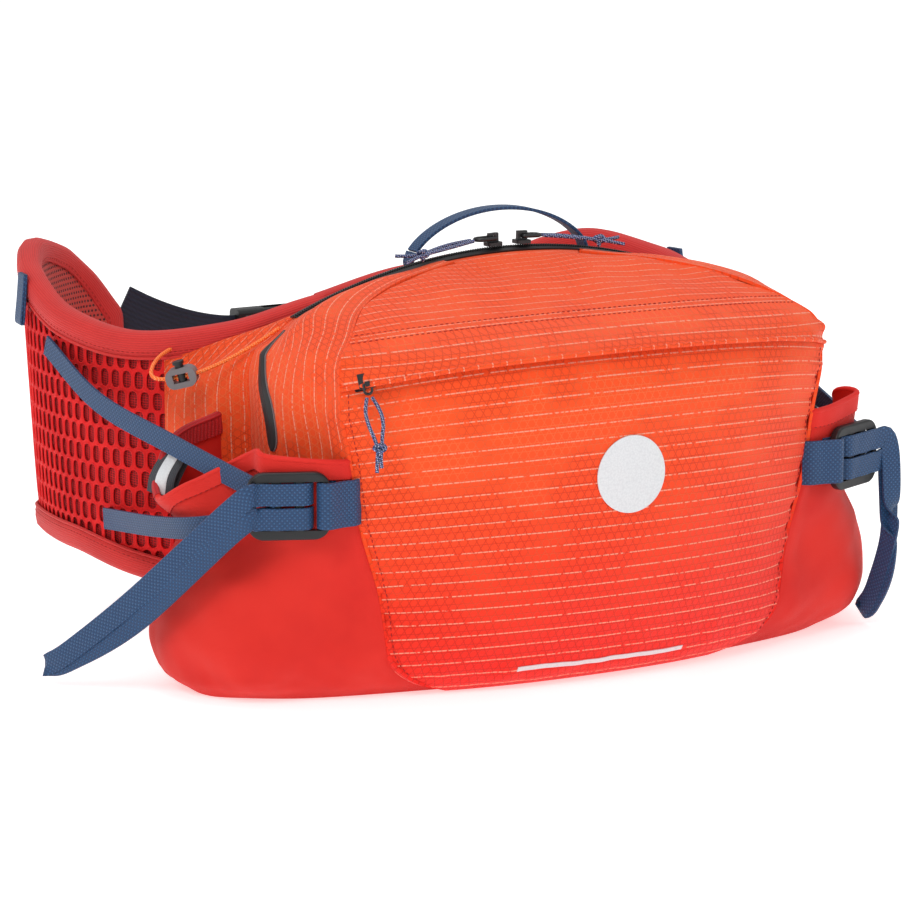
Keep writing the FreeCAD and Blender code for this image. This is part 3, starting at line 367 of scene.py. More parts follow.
def curveThrough(xs, ys):  # smooth, never overshoots
    xs, ys = np.asarray(xs, float), np.asarray(ys, float)
    if ys.ndim == 1:
        ys = ys[:, None]
    step = np.diff(xs)[:, None]
    rise = np.diff(ys, axis=0) / step
    slope = np.zeros_like(ys)
    same = rise[:-1] * rise[1:] > 0
    total = np.where(np.abs(rise[:-1] + rise[1:]) < 1e-12, 1.0, rise[:-1] + rise[1:])
    slope[1:-1] = np.where(same, 2 * rise[:-1] * rise[1:] / total, 0)
    slope[0], slope[-1] = rise[0], rise[-1]

    def at(x):
        x = np.clip(np.asarray(x, float), xs[0], xs[-1])
        i = np.clip(np.searchsorted(xs, x, side="right") - 1, 0, len(xs) - 2)
        width = (xs[i + 1] - xs[i])[..., None]
        t = ((x - xs[i]) / (xs[i + 1] - xs[i]))[..., None]
        return (ys[i] * (1 + 2 * t) * (1 - t) ** 2 + slope[i] * width * t * (1 - t) ** 2
                + ys[i + 1] * t * t * (3 - 2 * t) + slope[i + 1] * width * t * t * (t - 1))
    return at


def between(a, b, c, d, f):  # smooth step from b to c, with a before and d after
    square, cube = 2 * a - 5 * b + 4 * c - d, 3 * b - a - 3 * c + d
    return 0.5 * (2 * b + (c - a) * f + square * f * f + cube * f ** 3)


def along(points, count):  # smooth line through points, evenly spaced
    points = np.asarray(points, float)
    padded = np.vstack([2 * points[0] - points[1], points, 2 * points[-1] - points[-2]])
    t = np.linspace(0, len(points) - 1, count * 6)
    i = np.minimum(t.astype(int), len(points) - 2)
    f = (t - i)[:, None]
    line = between(padded[i], padded[i + 1], padded[i + 2], padded[i + 3], f)
    run = np.concatenate([[0], np.cumsum(np.linalg.norm(np.diff(line, axis=0), axis=1))])
    even = np.linspace(0, run[-1], count)
    return np.stack([np.interp(even, run, line[:, k]) for k in range(points.shape[1])], axis=1)


def unit(v):
    return v / np.maximum(np.linalg.norm(v, axis=-1, keepdims=True), 1e-9)


def normals(grid):
    return unit(np.cross(np.gradient(grid, axis=1), np.gradient(grid, axis=0)))


def ripple(points, size, seed, waves=8):
    random = np.random.default_rng(seed)
    total = 0
    for _ in range(waves):
        way = random.normal(size=3)
        way /= np.linalg.norm(way)
        total = total + np.sin(points @ way * (6.283 / (size * random.uniform(0.6, 1.7)))
                               + random.uniform(0, 6.283))
    return total / math.sqrt(waves)


def runLengths(grid):  # arc lengths along both directions, in millimetres
    found = []
    for axis in (1, 0):
        run = np.cumsum(np.linalg.norm(np.diff(grid, axis=axis), axis=2), axis=axis)
        found.append(np.pad(run, [(1 - axis, 0), (axis, 0)]))
    return found


def centred(grid):  # the same, with the lengths across measured from the middle column
    across, up = runLengths(grid)
    return across - across[:, across.shape[1] // 2][:, None], up


def borders(grid):
    return grid[0], grid[-1], grid[:, 0], grid[:, -1]


def added(name, data):
    made = bpy.data.objects.new(name, data)
    bpy.context.scene.collection.objects.link(made)
    return made


class Piece:
    def __init__(self, name):
        self.name = name
        self.points, self.faces, self.uvs = [], [], []

    def grid(self, points, uv=None):
        rows, columns = points.shape[:2]
        if uv is None:
            uv = np.stack(runLengths(points), axis=2)
        start = len(self.points)
        self.points += [tuple(p) for p in points.reshape(-1, 3)]
        for i in range(rows - 1):
            for j in range(columns - 1):
                at = start + i * columns + j
                self.faces.append((at, at + 1, at + columns + 1, at + columns))
                self.uvs += [uv[i, j], uv[i, j + 1], uv[i + 1, j + 1], uv[i + 1, j]]
        return self

    def build(self, look, body="root", replaces=(), slot=None, sharp=40.0):
        mesh = bpy.data.meshes.new(self.name)
        mesh.from_pydata([tuple(c * mm for c in p) for p in self.points], [], self.faces)
        layer = mesh.uv_layers.new(name="UVMap")
        layer.data.foreach_set("uv", (np.array(self.uvs, float) * mm).astype(np.float32).ravel())
        work = bmesh.new()
        work.from_mesh(mesh)
        bmesh.ops.remove_doubles(work, verts=work.verts, dist=2e-6)
        bmesh.ops.dissolve_degenerate(work, edges=work.edges, dist=2e-6)
        bmesh.ops.recalc_face_normals(work, faces=work.faces)
        work.to_mesh(mesh)
        work.free()
        mesh.shade_smooth()
        mesh.set_sharp_from_angle(angle=math.radians(sharp))
        mesh.materials.append(looks[look])
        return settle(added(self.name, mesh), body, replaces)


def settle(made, body, replaces=()):
    if isinstance(body, str):
        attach(made, body)
    if replaces:
        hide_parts(*replaces)
    return made


def sheetPiece(name, outer, thick, uv=None, facing=None):
    inner = outer - (outwards(outer) if facing is None else normals(outer) * facing) * thick
    if uv is None:
        uv = np.stack(runLengths(outer), axis=2)
    piece = Piece(name)
    piece.grid(outer, uv)
    piece.grid(inner[:, ::-1], uv[:, ::-1])
    for edge, back, side in zip(borders(outer), borders(inner), borders(uv)):
        piece.grid(np.stack([edge, back]), np.stack([side, side + 0.4]))
    return piece


packMiddle = np.array([0.0, 0.0, 100.0])


def outwards(grid):
    out = normals(grid)
    facing = np.sum(out * (grid - packMiddle), axis=-1).mean()
    return out if facing > 0 else -out


def tube(name, rings, look, body="root", closed=False, **more):  # rings: stations x points round x 3
    loops = np.concatenate([rings, rings[:, :1]], axis=1)
    if closed:
        loops = np.concatenate([loops, loops[:1]], axis=0)
    around, length = runLengths(loops)
    around = np.repeat(around.mean(axis=0)[None], len(loops), axis=0)
    length = np.repeat(length.mean(axis=1)[:, None], loops.shape[1], axis=1)
    piece = Piece(name).grid(loops, np.stack([around, length], axis=2))
    if not closed:
        for ring, v in ((loops[0], 0.0), (loops[-1], length[-1, 0])):
            middle = np.repeat(ring[:-1].mean(axis=0)[None], len(ring), axis=0)
            uv = np.zeros((2, len(ring), 2)) + v
            uv[0, :, 0] = around[0]
            piece.grid(np.stack([ring, middle]), uv)
    return piece.build(look, body, **more)


def strap(name, stations, width, thick, look, body="root", count=40, **more):
    centres = along([s[0] for s in stations], count)
    across = unit(along([s[1] for s in stations], count))
    ahead = unit(np.gradient(centres, axis=0))
    across = unit(across - ahead * np.sum(across * ahead, axis=1, keepdims=True))
    face = np.cross(ahead, across)
    half, deep = width / 2, thick / 2
    profile = [(-half, 0), (-half + 0.3, deep), (-half * 0.5, deep), (0, deep), (half * 0.5, deep),
               (half - 0.3, deep)]
    profile += [(-a, -f) for a, f in profile]
    rings = np.stack([centres + across * a + face * f for a, f in profile], axis=1)
    return tube(name, rings, look, body, sharp=60.0, **more)


def roundTube(points, radius, sides=10):
    ahead = unit(np.gradient(points, axis=0))
    up = np.array([0.0, 0.0, 1.0])
    side = unit(np.cross(ahead, up + 0.001))
    lift = np.cross(side, ahead)
    angles = np.linspace(0, 2 * math.pi, sides, endpoint=False)
    return np.stack([points + side * math.cos(a) * radius + lift * math.sin(a) * radius for a in angles],
                    axis=1)


# a Geometry Nodes tree and how it runs
class Bush:
    def __init__(self, name, **inputs):
        self.tree = bpy.data.node_groups.new(name, "GeometryNodeTree")
        self.tree.interface.new_socket("Geometry", in_out="INPUT", socket_type="NodeSocketGeometry")
        self.tree.interface.new_socket("Geometry", in_out="OUTPUT", socket_type="NodeSocketGeometry")
        self.ids = {}
        for key, kind in inputs.items():
            self.ids[key] = self.tree.interface.new_socket(key, in_out="INPUT",
                                                           socket_type="NodeSocket" + kind).identifier
        self.given = self.tree.nodes.new("NodeGroupInput")
        self.result = self.tree.nodes.new("NodeGroupOutput")

    def node(self, kind, settings=None, sockets=None):
        made = self.tree.nodes.new(kind)
        for key, value in (settings or {}).items():
            setattr(made, key, value)
        for key, value in (sockets or {}).items():
            if isinstance(value, bpy.types.NodeSocket):
                self.tree.links.new(value, made.inputs[key])
            elif isinstance(value, bpy.types.Node):
                self.tree.links.new(value.outputs[0], made.inputs[key])
            else:
                made.inputs[key].default_value = value
        return made

    def run(self, carrier, **values):  # evaluates the tree on a carrier object and keeps the plain mesh
        modifier = carrier.modifiers.new("bush", "NODES")
        modifier.node_group = self.tree
        for key, value in values.items():
            modifier[self.ids[key]] = value
        bpy.context.view_layer.update()
        graph = bpy.context.evaluated_depsgraph_get()
        mesh = bpy.data.meshes.new_from_object(carrier.evaluated_get(graph), depsgraph=graph)
        data, kind = carrier.data, carrier.type
        bpy.data.objects.remove(carrier)
        (bpy.data.curves if kind == "CURVE" else bpy.data.meshes).remove(data)
        return mesh


def beadTree():
    bush = Bush("beadRun", Spacing="Float", Size="Vector", Material="Material")
    given = bush.given.outputs
    points = bush.node("GeometryNodeResampleCurve", {"mode": "LENGTH"},
                       {"Curve": given["Geometry"], "Length": given["Spacing"]})
    turn = bush.node("FunctionNodeAlignRotationToVector", {"axis": "X"},
                     {"Vector": bush.node("GeometryNodeInputTangent")})
    bead = bush.node("GeometryNodeMeshUVSphere", {}, {"Segments": 6, "Rings": 4, "Radius": 1.0})
    bead = bush.node("GeometryNodeTransform", {}, {"Geometry": bead, "Scale": given["Size"]})
    laid = bush.node("GeometryNodeInstanceOnPoints", {},
                     {"Points": points, "Instance": bead, "Rotation": turn})
    real = bush.node("GeometryNodeRealizeInstances", {}, {"Geometry": laid})
    done = bush.node("GeometryNodeSetMaterial", {}, {"Geometry": real, "Material": given["Material"]})
    bush.tree.links.new(done.outputs[0], bush.result.inputs[0])
    return bush


beads = beadTree()


def beadRun(name, lines, look, body="root", spacing=3.2, size=(1.05, 0.3, 0.3)):
    curve = bpy.data.curves.new(name, "CURVE")
    curve.dimensions = "3D"
    for line in lines:
        line = np.asarray(line, float) * mm
        spline = curve.splines.new("POLY")
        spline.points.add(len(line) - 1)
        spline.points.foreach_set("co", np.concatenate([line, np.ones((len(line), 1))],
                                                       axis=1).astype(np.float32).ravel())
    mesh = beads.run(added(name, curve), Spacing=spacing * mm, Size=[s * mm for s in size],
                     Material=looks[look])
    mesh.name = name
    mesh.shade_smooth()
    return settle(added(name, mesh), body, ())


# camera, light and floor
studio = {
    "lens": 188.2, "sensor": 36.0, "far": 60.0, "azimuth": -30.0, "elevation": 11.0,
    "eye": (-1.33336, -2.22147, 0.61455), "target": (0, 0.05, 0.1), "floor": 12, "floorGlow": 0.5,
    "world": 0.62,
    "lamps": [("keyLamp", (-1.7, -1.3, 2.2), 1.1, 24.0), ("fillLamp", (2.4, -2.0, 1.4), 1.8, 8.0),
              ("topLamp", (0.2, 0.6, 2.8), 1.6, 18.0)],
}
white = (1, 1, 1, 1)


def setCamera():
    camera = bpy.data.cameras.new("mainCamera")
    camera.lens, camera.sensor_width, camera.clip_end = studio["lens"], studio["sensor"], studio["far"]
    made = added("mainCamera", camera)
    azimuth, elevation = math.radians(studio["azimuth"]), math.radians(studio["elevation"])
    level = math.cos(elevation)
    back = Vector((math.sin(azimuth) * level, -math.cos(azimuth) * level, math.sin(elevation)))
    right = Vector((math.cos(azimuth), math.sin(azimuth), 0))
    turned = Matrix((right, back.cross(right), back)).transposed().to_4x4()
    made.matrix_world = Matrix.Translation(studio["eye"]) @ turned
    bpy.context.scene.camera = made


def setFloor():
    mesh = bpy.data.meshes.new("floor")
    far = studio["floor"]
    mesh.from_pydata([(-far, -far, 0), (far, -far, 0), (far, far, 0), (-far, far, 0)], [], [(0, 1, 2, 3)])
    floor = bpy.data.objects.new("floor", mesh)
    paint = Paint("floorWhite")
    colour = paint.mix(paint.grain(2.0), (0.9, 0.9, 0.9, 1), (0.92, 0.92, 0.92, 1))
    glow = {"Emission Color": white, "Emission Strength": studio["floorGlow"]}
    mesh.materials.append(paint.finish(colour, 0.8, **glow))
    bpy.context.scene.collection.objects.link(floor)


def setWorld():  # white to the camera, softer as a light
    world = bpy.data.worlds.new("studio")
    world.use_nodes = True
    tree = world.node_tree
    sky = tree.nodes["Background"]
    seen = tree.nodes.new("ShaderNodeBackground")
    for light in (sky, seen):
        light.inputs["Color"].default_value = white
    sky.inputs["Strength"].default_value = studio["world"]
    mixed, path = tree.nodes.new("ShaderNodeMixShader"), tree.nodes.new("ShaderNodeLightPath")
    tree.links.new(path.outputs["Is Camera Ray"], mixed.inputs[0])
    tree.links.new(sky.outputs[0], mixed.inputs[1])
    tree.links.new(seen.outputs[0], mixed.inputs[2])
    tree.links.new(mixed.outputs[0], tree.nodes["World Output"].inputs[0])
    bpy.context.scene.world = world
    bpy.context.scene.view_settings.view_transform = "Standard"


def setLamps():
    for name, place, size, power in studio["lamps"]:
        lamp = bpy.data.lights.new(name, "AREA")
        lamp.shape, lamp.size, lamp.energy = "SQUARE", size, power
        holder = added(name, lamp)
        holder.location = place
        aim = Vector(studio["target"]) - Vector(place)
        holder.rotation_euler = aim.to_track_quat("-Z", "Y").to_euler()


setCamera()
setFloor()
setWorld()
setLamps()
print("stage ready")

# rows: height, half width at the front seam, half width at the side, seam Y, front Y, Y of the side
bodyRows = [
    (0, 84, 90, -42, -50, 0), (7, 104, 116, -47, -62, 0), (24, 123, 139, -50, -73, 0),
    (58, 129, 150, -50, -87, 0), (100, 141, 158, -50, -93, 0), (135, 147, 163, -50, -94, 0),
    (160, 152, 164, -50, -92, 0), (178, 152, 160, -49, -85, 0), (186, 149, 156, -46, -80, 2),
    (195, 138, 148, -36, -62, 6), (206, 118, 128, -12, -28, 14), (215, 84, 92, 10, 0, 22),
    (221, 40, 44, 25, 20, 29),
]
bodyColumns = ["z", "seam", "side", "seamY", "frontY", "wide"]
bodyAt = curveThrough(range(13), bodyRows)
fineLevels = np.linspace(0, 12, 2401)
fineHeights = bodyAt(fineLevels)[:, 0]
mainZip = {"y": 36.0, "z": -102.0, "radius": 325.0, "half": math.radians(24.0)}


def bodyPart(level, *names):
    row = bodyAt(level)
    return [row[..., bodyColumns.index(name)] for name in names]


def levelAt(z):
    return np.interp(z, fineHeights, fineLevels)


def rearHalf(z, side):
    shoulder = mainZip["z"] + mainZip["radius"] * math.cos(mainZip["half"])
    arc = np.sqrt(np.maximum(mainZip["radius"] ** 2 - (z - mainZip["z"]) ** 2, 400.0))
    reach = mainZip["radius"] * math.sin(mainZip["half"])
    below = np.minimum(reach + (side - reach) * np.clip((shoulder - z) / shoulder * 11.0, 0, 1), side - 4.0)
    return np.where(z >= shoulder, arc, below)


def frontSkin(share, level, lift=0.0):
    z, seam, seamY, frontY = bodyPart(level, "z", "seam", "seamY", "frontY")
    x = seam * share
    y = seamY + (frontY - seamY) * (1 - np.abs(share) ** 2.4)
    flat = np.stack(np.broadcast_arrays(x, y, z), axis=-1)
    nearSeam = np.exp(-(1 - np.abs(share)) * seam / 9.0)
    nearFoot = np.exp(-z / 16.0)
    wrinkle = ripple(flat * [0.5, 1, 1], 60.0, 3) * 0.7 + ripple(flat * [1, 1, 0.25], 17.0, 5) * nearFoot
    wrinkle = wrinkle + ripple(flat * [0.2, 0.2, 1.0], 11.0, 8) * nearSeam * 1.1
    pillow = 1.6 * (1 - np.abs(share) ** 6)
    out = unit(np.stack([x * 0.35, y - 10, (z - 110) * 0.15], axis=-1))
    return flat + out * ((wrinkle + pillow - 1.2) * np.clip(z / 8.0, 0, 1) + lift)[..., None]


def sideSkin(t, level, hand=1.0, lift=0.0):  # t: 0 front seam, 1 widest, 2 zip plane, 3 back
    z, seam, side, seamY, wide = bodyPart(level, "z", "seam", "side", "seamY", "wide")
    rear = rearHalf(z, side)
    xs = [seam, side, rear, rear - 7.0]
    ys = [seamY, wide, np.full_like(z, 36.0), np.full_like(z, 50.0)]
    t = np.broadcast_to(t, np.broadcast_shapes(np.shape(t), z.shape))
    knots = np.stack([np.stack(np.broadcast_arrays(x + 0 * t, y + 0 * t), -1) for x, y in zip(xs, ys)])
    padded = np.concatenate([2 * knots[:1] - knots[1:2], knots, 2 * knots[-1:] - knots[-2:-1]])
    i = np.minimum(t.astype(int), 2)
    f = (t - i)[..., None]
    pick = [np.take_along_axis(padded, (i + k)[None, ..., None].repeat(2, -1), 0)[0] for k in range(4)]
    plan = between(*pick, f)
    point = np.stack([plan[..., 0], plan[..., 1], z + 0 * t], axis=-1)
    wrinkle = ripple(point * [1, 1, 0.4], 34.0, 12) * 0.9 + ripple(point * [0.3, 1.0, 0.6], 13.0, 14) * 0.35
    out = unit(np.stack([point[..., 0], point[..., 1] * 0.3, (point[..., 2] - 110) * 0.2], axis=-1))
    edge = np.clip(np.minimum(t, 3 - t) * 3.0, 0, 1) * np.clip(z / 10.0, 0, 1)
    point = point + out * (wrinkle * edge + lift)[..., None]
    return point * [hand, 1, 1]


stash = {"apexY": -81.0, "apexZ": 186.0, "up": (0.38487, 0.92295), "centre": (0, 278.95, 35.9)}


def levelAtSlit(share, target):  # where the front lies at a given height over the stash zip's plane
    levels = np.linspace(4, 12, 900)
    z, seamY, frontY = bodyPart(levels, "z", "seamY", "frontY")
    upY, upZ = stash["up"]
    found = []
    for s in share:
        y = seamY + (frontY - seamY) * (1 - abs(s) ** 2.4)
        found.append(np.interp(target, (y - stash["apexY"]) * upY + (z - stash["apexZ"]) * upZ, levels))
    return np.array(found)


def buildShell():
    shares = np.sin(np.linspace(-1, 1, 121) * math.pi / 2)
    shares = 0.5 * shares + 0.5 * np.linspace(-1, 1, 121)
    top = levelAtSlit(shares, -1.5)
    rise = np.linspace(0, 1, 96)
    front = frontSkin(shares[None, :], levelFraction(rise, top))
    across = centred(front)[0]
    up = rise[:, None] * 184.0 + 0 * across
    piece = sheetPiece("frontPanel", front, 1.8, np.stack([across, up], 2))
    piece.build("front", replaces=("front_panel",), slot="pack_fabric")
    # band over the slit, whose free edge hangs over it, up to the double row of stitches
    low, seamLevel = levelAtSlit(shares, -2.0), levelAtSlit(shares, 24.0)
    rise = np.linspace(0, 1, 30)
    levels = low + (seamLevel - low) * rise[:, None]
    hang = 5.6 * (1 - rise) ** 1.4
    gape = 1 + 0.35 * np.exp(-((shares + 0.86) / 0.12) ** 2)
    fade = np.clip((1 - np.abs(shares)) * 9.0, 0.12, 1) * gape
    band = frontSkin(shares[None, :], levels, hang[:, None] * fade)
    across = centred(band)[0]
    up = 186.0 + rise[:, None] * 26.0 + 0 * across
    piece = sheetPiece("slitBand", band, 1.6, np.stack([across, up], 2))
    piece.build("band", replaces=("upper_panel", "storm_flap"), slot="pack_fabric")
    lip = along(band[0] - [0, 0.2, -0.4], 160)
    tube("slitLip", roundTube(lip, 1.25, 8), "band", slot="pack_fabric")
    # top, from the stitches to the main zip
    rise = np.linspace(0, 1, 34)
    levels = seamLevel + (12.0 - seamLevel) * rise[:, None]
    skin = frontSkin(shares[None, :], levels)
    cap = []
    for k in np.linspace(0, 1, 8)[1:]:
        edge = skin[-1]
        y = edge[:, 1] + (30.0 - edge[:, 1]) * k
        z = edge[:, 2] + (mainZip["z"] + np.sqrt(mainZip["radius"] ** 2 - edge[:, 0] ** 2) - 0.3
                          - edge[:, 2]) * k ** 0.7
        cap.append(np.stack([edge[:, 0] * (1 + 0.08 * k), y, z], -1))
    skin = np.concatenate([skin, np.array(cap)])
    soft = ripple(skin * [0.6, 1, 1], 26.0, 21) * 1.1 * np.sin(np.linspace(0, math.pi, len(skin)))[:, None]
    skin = skin + outwards(skin) * soft[..., None]
    across, up = centred(skin)
    up = up.mean(axis=1)[:, None] + 0 * across
    sheetPiece("topPanel", skin, 1.6, np.stack([across, up], 2)).build("top", slot="pack_fabric")
    for hand, word in leftFirst:
        t = np.linspace(0, 3, 64)
        levels = np.linspace(0, 12, 110)
        side = sideSkin(t[None, :], levels[:, None], hand)
        piece = sheetPiece("sidePanel_" + word, side, 1.8)
        piece.build("side", replaces=("side_panel_" + word,), slot="pack_fabric")


def levelFraction(rise, top):  # even steps of height, so the rows stay evenly spaced
    return levelAt(bodyPart(top, "z")[0][None, :] * rise[:, None])


buildShell()


def zipArc(angle, radius, y):
    x, z = radius * np.sin(angle), mainZip["z"] + radius * np.cos(angle)
    return np.stack(np.broadcast_arrays(x, y, z), -1)


def buildRear():
    angles = np.linspace(-mainZip["half"], mainZip["half"], 90)
    ys = np.array([41.0, 43.0, 46.0, 48.5, 50.0, 50.4])
    drop = np.array([0.2, 0.2, 0.8, 2.2, 4.5, 9.0])
    grid = np.stack([zipArc(angles, mainZip["radius"] - d, y) for y, d in zip(ys, drop)])
    sheetPiece("rearGusset", grid, 1.4).build("top", replaces=("rear_gusset",), slot="pack_fabric")
    levels = np.linspace(0, 12, 60)
    z, side = bodyPart(levels, "z", "side")
    half = rearHalf(z, side) - 7.0
    wide = np.linspace(-1, 1, 40)
    wall = np.stack([half[:, None] * wide, np.full((60, 40), 50.0) + 0.3, np.repeat(z[:, None], 40, 1)], -1)
    sheetPiece("backWall", wall, 2.0).build("lining", replaces=("back_wall",), slot="back_fabric")
    xs = np.linspace(-1, 1, 50)
    front = frontSkin(xs, np.zeros(50))
    rear = np.array([[84.0 * s, 50.0, 0.0] for s in xs])
    floorGrid = np.stack([front * (1 - k) + rear * k for k in np.linspace(0, 1, 24)])
    floorGrid[..., 2] = 0.4
    inner = floorGrid + [0, 0, 1.8]
    piece = Piece("bottomPanel").grid(floorGrid).grid(inner[:, ::-1])
    for pair in zip(borders(floorGrid), borders(inner)):
        piece.grid(np.stack(pair))
    piece.build("pocket", replaces=("bottom_panel",), slot="pack_fabric")


buildRear()
print("shell built")


def buildZips():
    angles = np.linspace(-mainZip["half"], mainZip["half"], 80)
    r = mainZip["radius"]
    tape = np.stack([zipArc(angles, r + 0.6 + lift, 36.0 + y)
                     for y, lift in ((-6, 0.2), (-3, 0.8), (0, 1.0), (3, 0.8), (6, 0.2))])
    uv = np.stack(runLengths(tape), 2)
    uv[..., 0], uv[..., 1] = np.linspace(-6, 6, 5)[:, None] + 0 * uv[..., 0], uv[..., 0].copy()
    sheetPiece("mainZipTape", tape, 0.8, uv).build("zip", replaces=("main_zip",), slot="zip_tape")
    lines = [zipArc(angles, r + 1.9, 36.0 + dy) for dy in (-0.9, 0.9)]
    beadRun("mainZipCoil", lines, "coil", spacing=1.5, size=(0.5, 1.1, 0.6))
    foot = 131.5
    for hand, word in leftFirst:
        t = np.linspace(0, 1, 50)
        bend = np.sin(t * math.pi / 2)
        ys = 33.0 * (1 - bend) + 2.0 * bend
        zs = 190.0 - (190.0 - foot) * t
        half = curveThrough([0, 0.12, 0.4, 0.75, 0.93, 1.0], [0.8, 2.6, 5.0, 5.6, 3.8, 1.2])(t)[:, 0]
        for name, extra, lift, look in (("sideZip_", 0.0, 1.0, "zip"), ("sideZipEdge_", 0.7, 0.7, "grey")):
            rows = []
            for k in np.linspace(-1, 1, 9):
                y = ys + k * (half + extra)
                rows.append(sidePoint(y, zs, hand, lift + 0.5 * (1 - k * k)))
            grid = np.stack(rows, 1)
            uv = np.stack([np.linspace(-1, 1, 9)[None, :] * half[:, None],
                           np.repeat((t * 70.0)[:, None], 9, 1)], 2)
            sheetPiece(name + word, grid, 0.9, uv).build(look, slot="zip_tape")


def sidePoint(y, z, hand=1.0, lift=0.0):  # the side skin at a given Y and height
    y, level = np.atleast_1d(y), np.atleast_1d(levelAt(z))
    ts = np.linspace(0, 3, 241)
    found = []
    for yy, lv, up in zip(y, level, np.broadcast_to(lift, y.shape)):
        column = sideSkin(ts, np.full(241, lv), hand)
        t = np.interp(yy, column[:, 1], ts)
        found.append(sideSkin(np.array([t]), np.array([lv]), hand, up)[0])
    return np.array(found)


buildZips()
print("zips built")


# padded hip belt
belt = {"face": 51.6, "rim": 13.0, "droop": 21.0, "lean": 9.0}
wingPlan = [(107.5, 54.6), (156.3, 72.6), (194.5, 111.6), (213, 159.6), (212, 211.6), (190.5, 255.6),
            (156.3, 283.6), (117.3, 291.6)]
wingLine = along(wingPlan, 400)
lumbarX = np.linspace(0, 107.5, 80)[:-1]
beltLine = np.concatenate([np.stack([lumbarX, belt["face"] + 3.0 * (lumbarX / 107.5) ** 2], 1), wingLine])
beltRun = np.concatenate([[0], np.cumsum(np.linalg.norm(np.diff(beltLine, axis=0), axis=1))])
rootRun, beltEnd = beltRun[79], beltRun[-1]
beltWay = unit(np.gradient(beltLine, axis=0))
wingEdges = [(0.0, 203, 22), (0.15, 189, 34), (0.31, 182, 46), (0.46, 189, 54), (0.61, 206, 54),
             (0.75, 215, 50),
             (0.86, 207, 56), (0.94, 190, 72), (1.0, 164, 98)]
edgeRuns = [0, rootRun * 0.5] + [rootRun + share * (beltEnd - rootRun) for share, top, bottom in wingEdges]
beltEdge = curveThrough(edgeRuns, [(219, 14), (215, 16)] + [row[1:] for row in wingEdges])


def shareOf(run):
    return np.clip((np.abs(run) - rootRun) / (beltEnd - rootRun), 0, 1)


def smoothStep(t):
    t = np.clip(t, 0, 1)
    return t * t * (3 - 2 * t)


def beltPoint(run, z, depth):  # run: distance from the middle of the back, negative on the left wing
    run, z, depth = np.broadcast_arrays(np.asarray(run, float), z, depth)
    away = np.clip(np.abs(run), 0, beltEnd)
    x, y = np.interp(away, beltRun, beltLine[:, 0]), np.interp(away, beltRun, beltLine[:, 1])
    wayX, wayY = np.interp(away, beltRun, beltWay[:, 0]), np.interp(away, beltRun, beltWay[:, 1])
    over = np.maximum(np.abs(run) - beltEnd, 0)
    share = shareOf(run)
    left = run < 0
    top, bottom = np.moveaxis(beltEdge(away), -1, 0)
    leaning = belt["lean"] * smoothStep((share - 0.3) / 0.3) * (1 - 0.5 * smoothStep((share - 0.8) / 0.2))
    depth = depth + np.where(left, leaning * np.clip((top - z) / (top - bottom), 0, 1), 0)
    drop = np.where(left, 0, belt["droop"] * smoothStep((share - 0.25) / 0.45))
    px = x - wayY * depth + wayX * over
    py = y + wayX * depth + wayY * over
    return np.stack([np.where(left, -px, px), py, z - drop], -1)


def smoothLoop(points, turns=2):  # rounds a closed outline's corners
    for _ in range(turns):
        nextOnes = np.roll(points, -1, axis=0)
        pairs = [points * 0.75 + nextOnes * 0.25, points * 0.25 + nextOnes * 0.75]
        points = np.stack(pairs, 1).reshape(-1, 2)
    return points


def beltOutline():
    runs = np.linspace(-beltEnd, beltEnd, 150)
    edges = beltEdge(np.abs(runs))
    top, bottom = np.stack([runs, edges[:, 0]], 1), np.stack([runs, edges[:, 1]], 1)[::-1]
    right = np.stack([np.full(5, beltEnd), np.linspace(164, 98, 7)[1:-1]], 1)
    left = np.stack([np.full(5, -beltEnd), np.linspace(98, 164, 7)[1:-1]], 1)
    return smoothLoop(np.concatenate([top, right, bottom, left]))


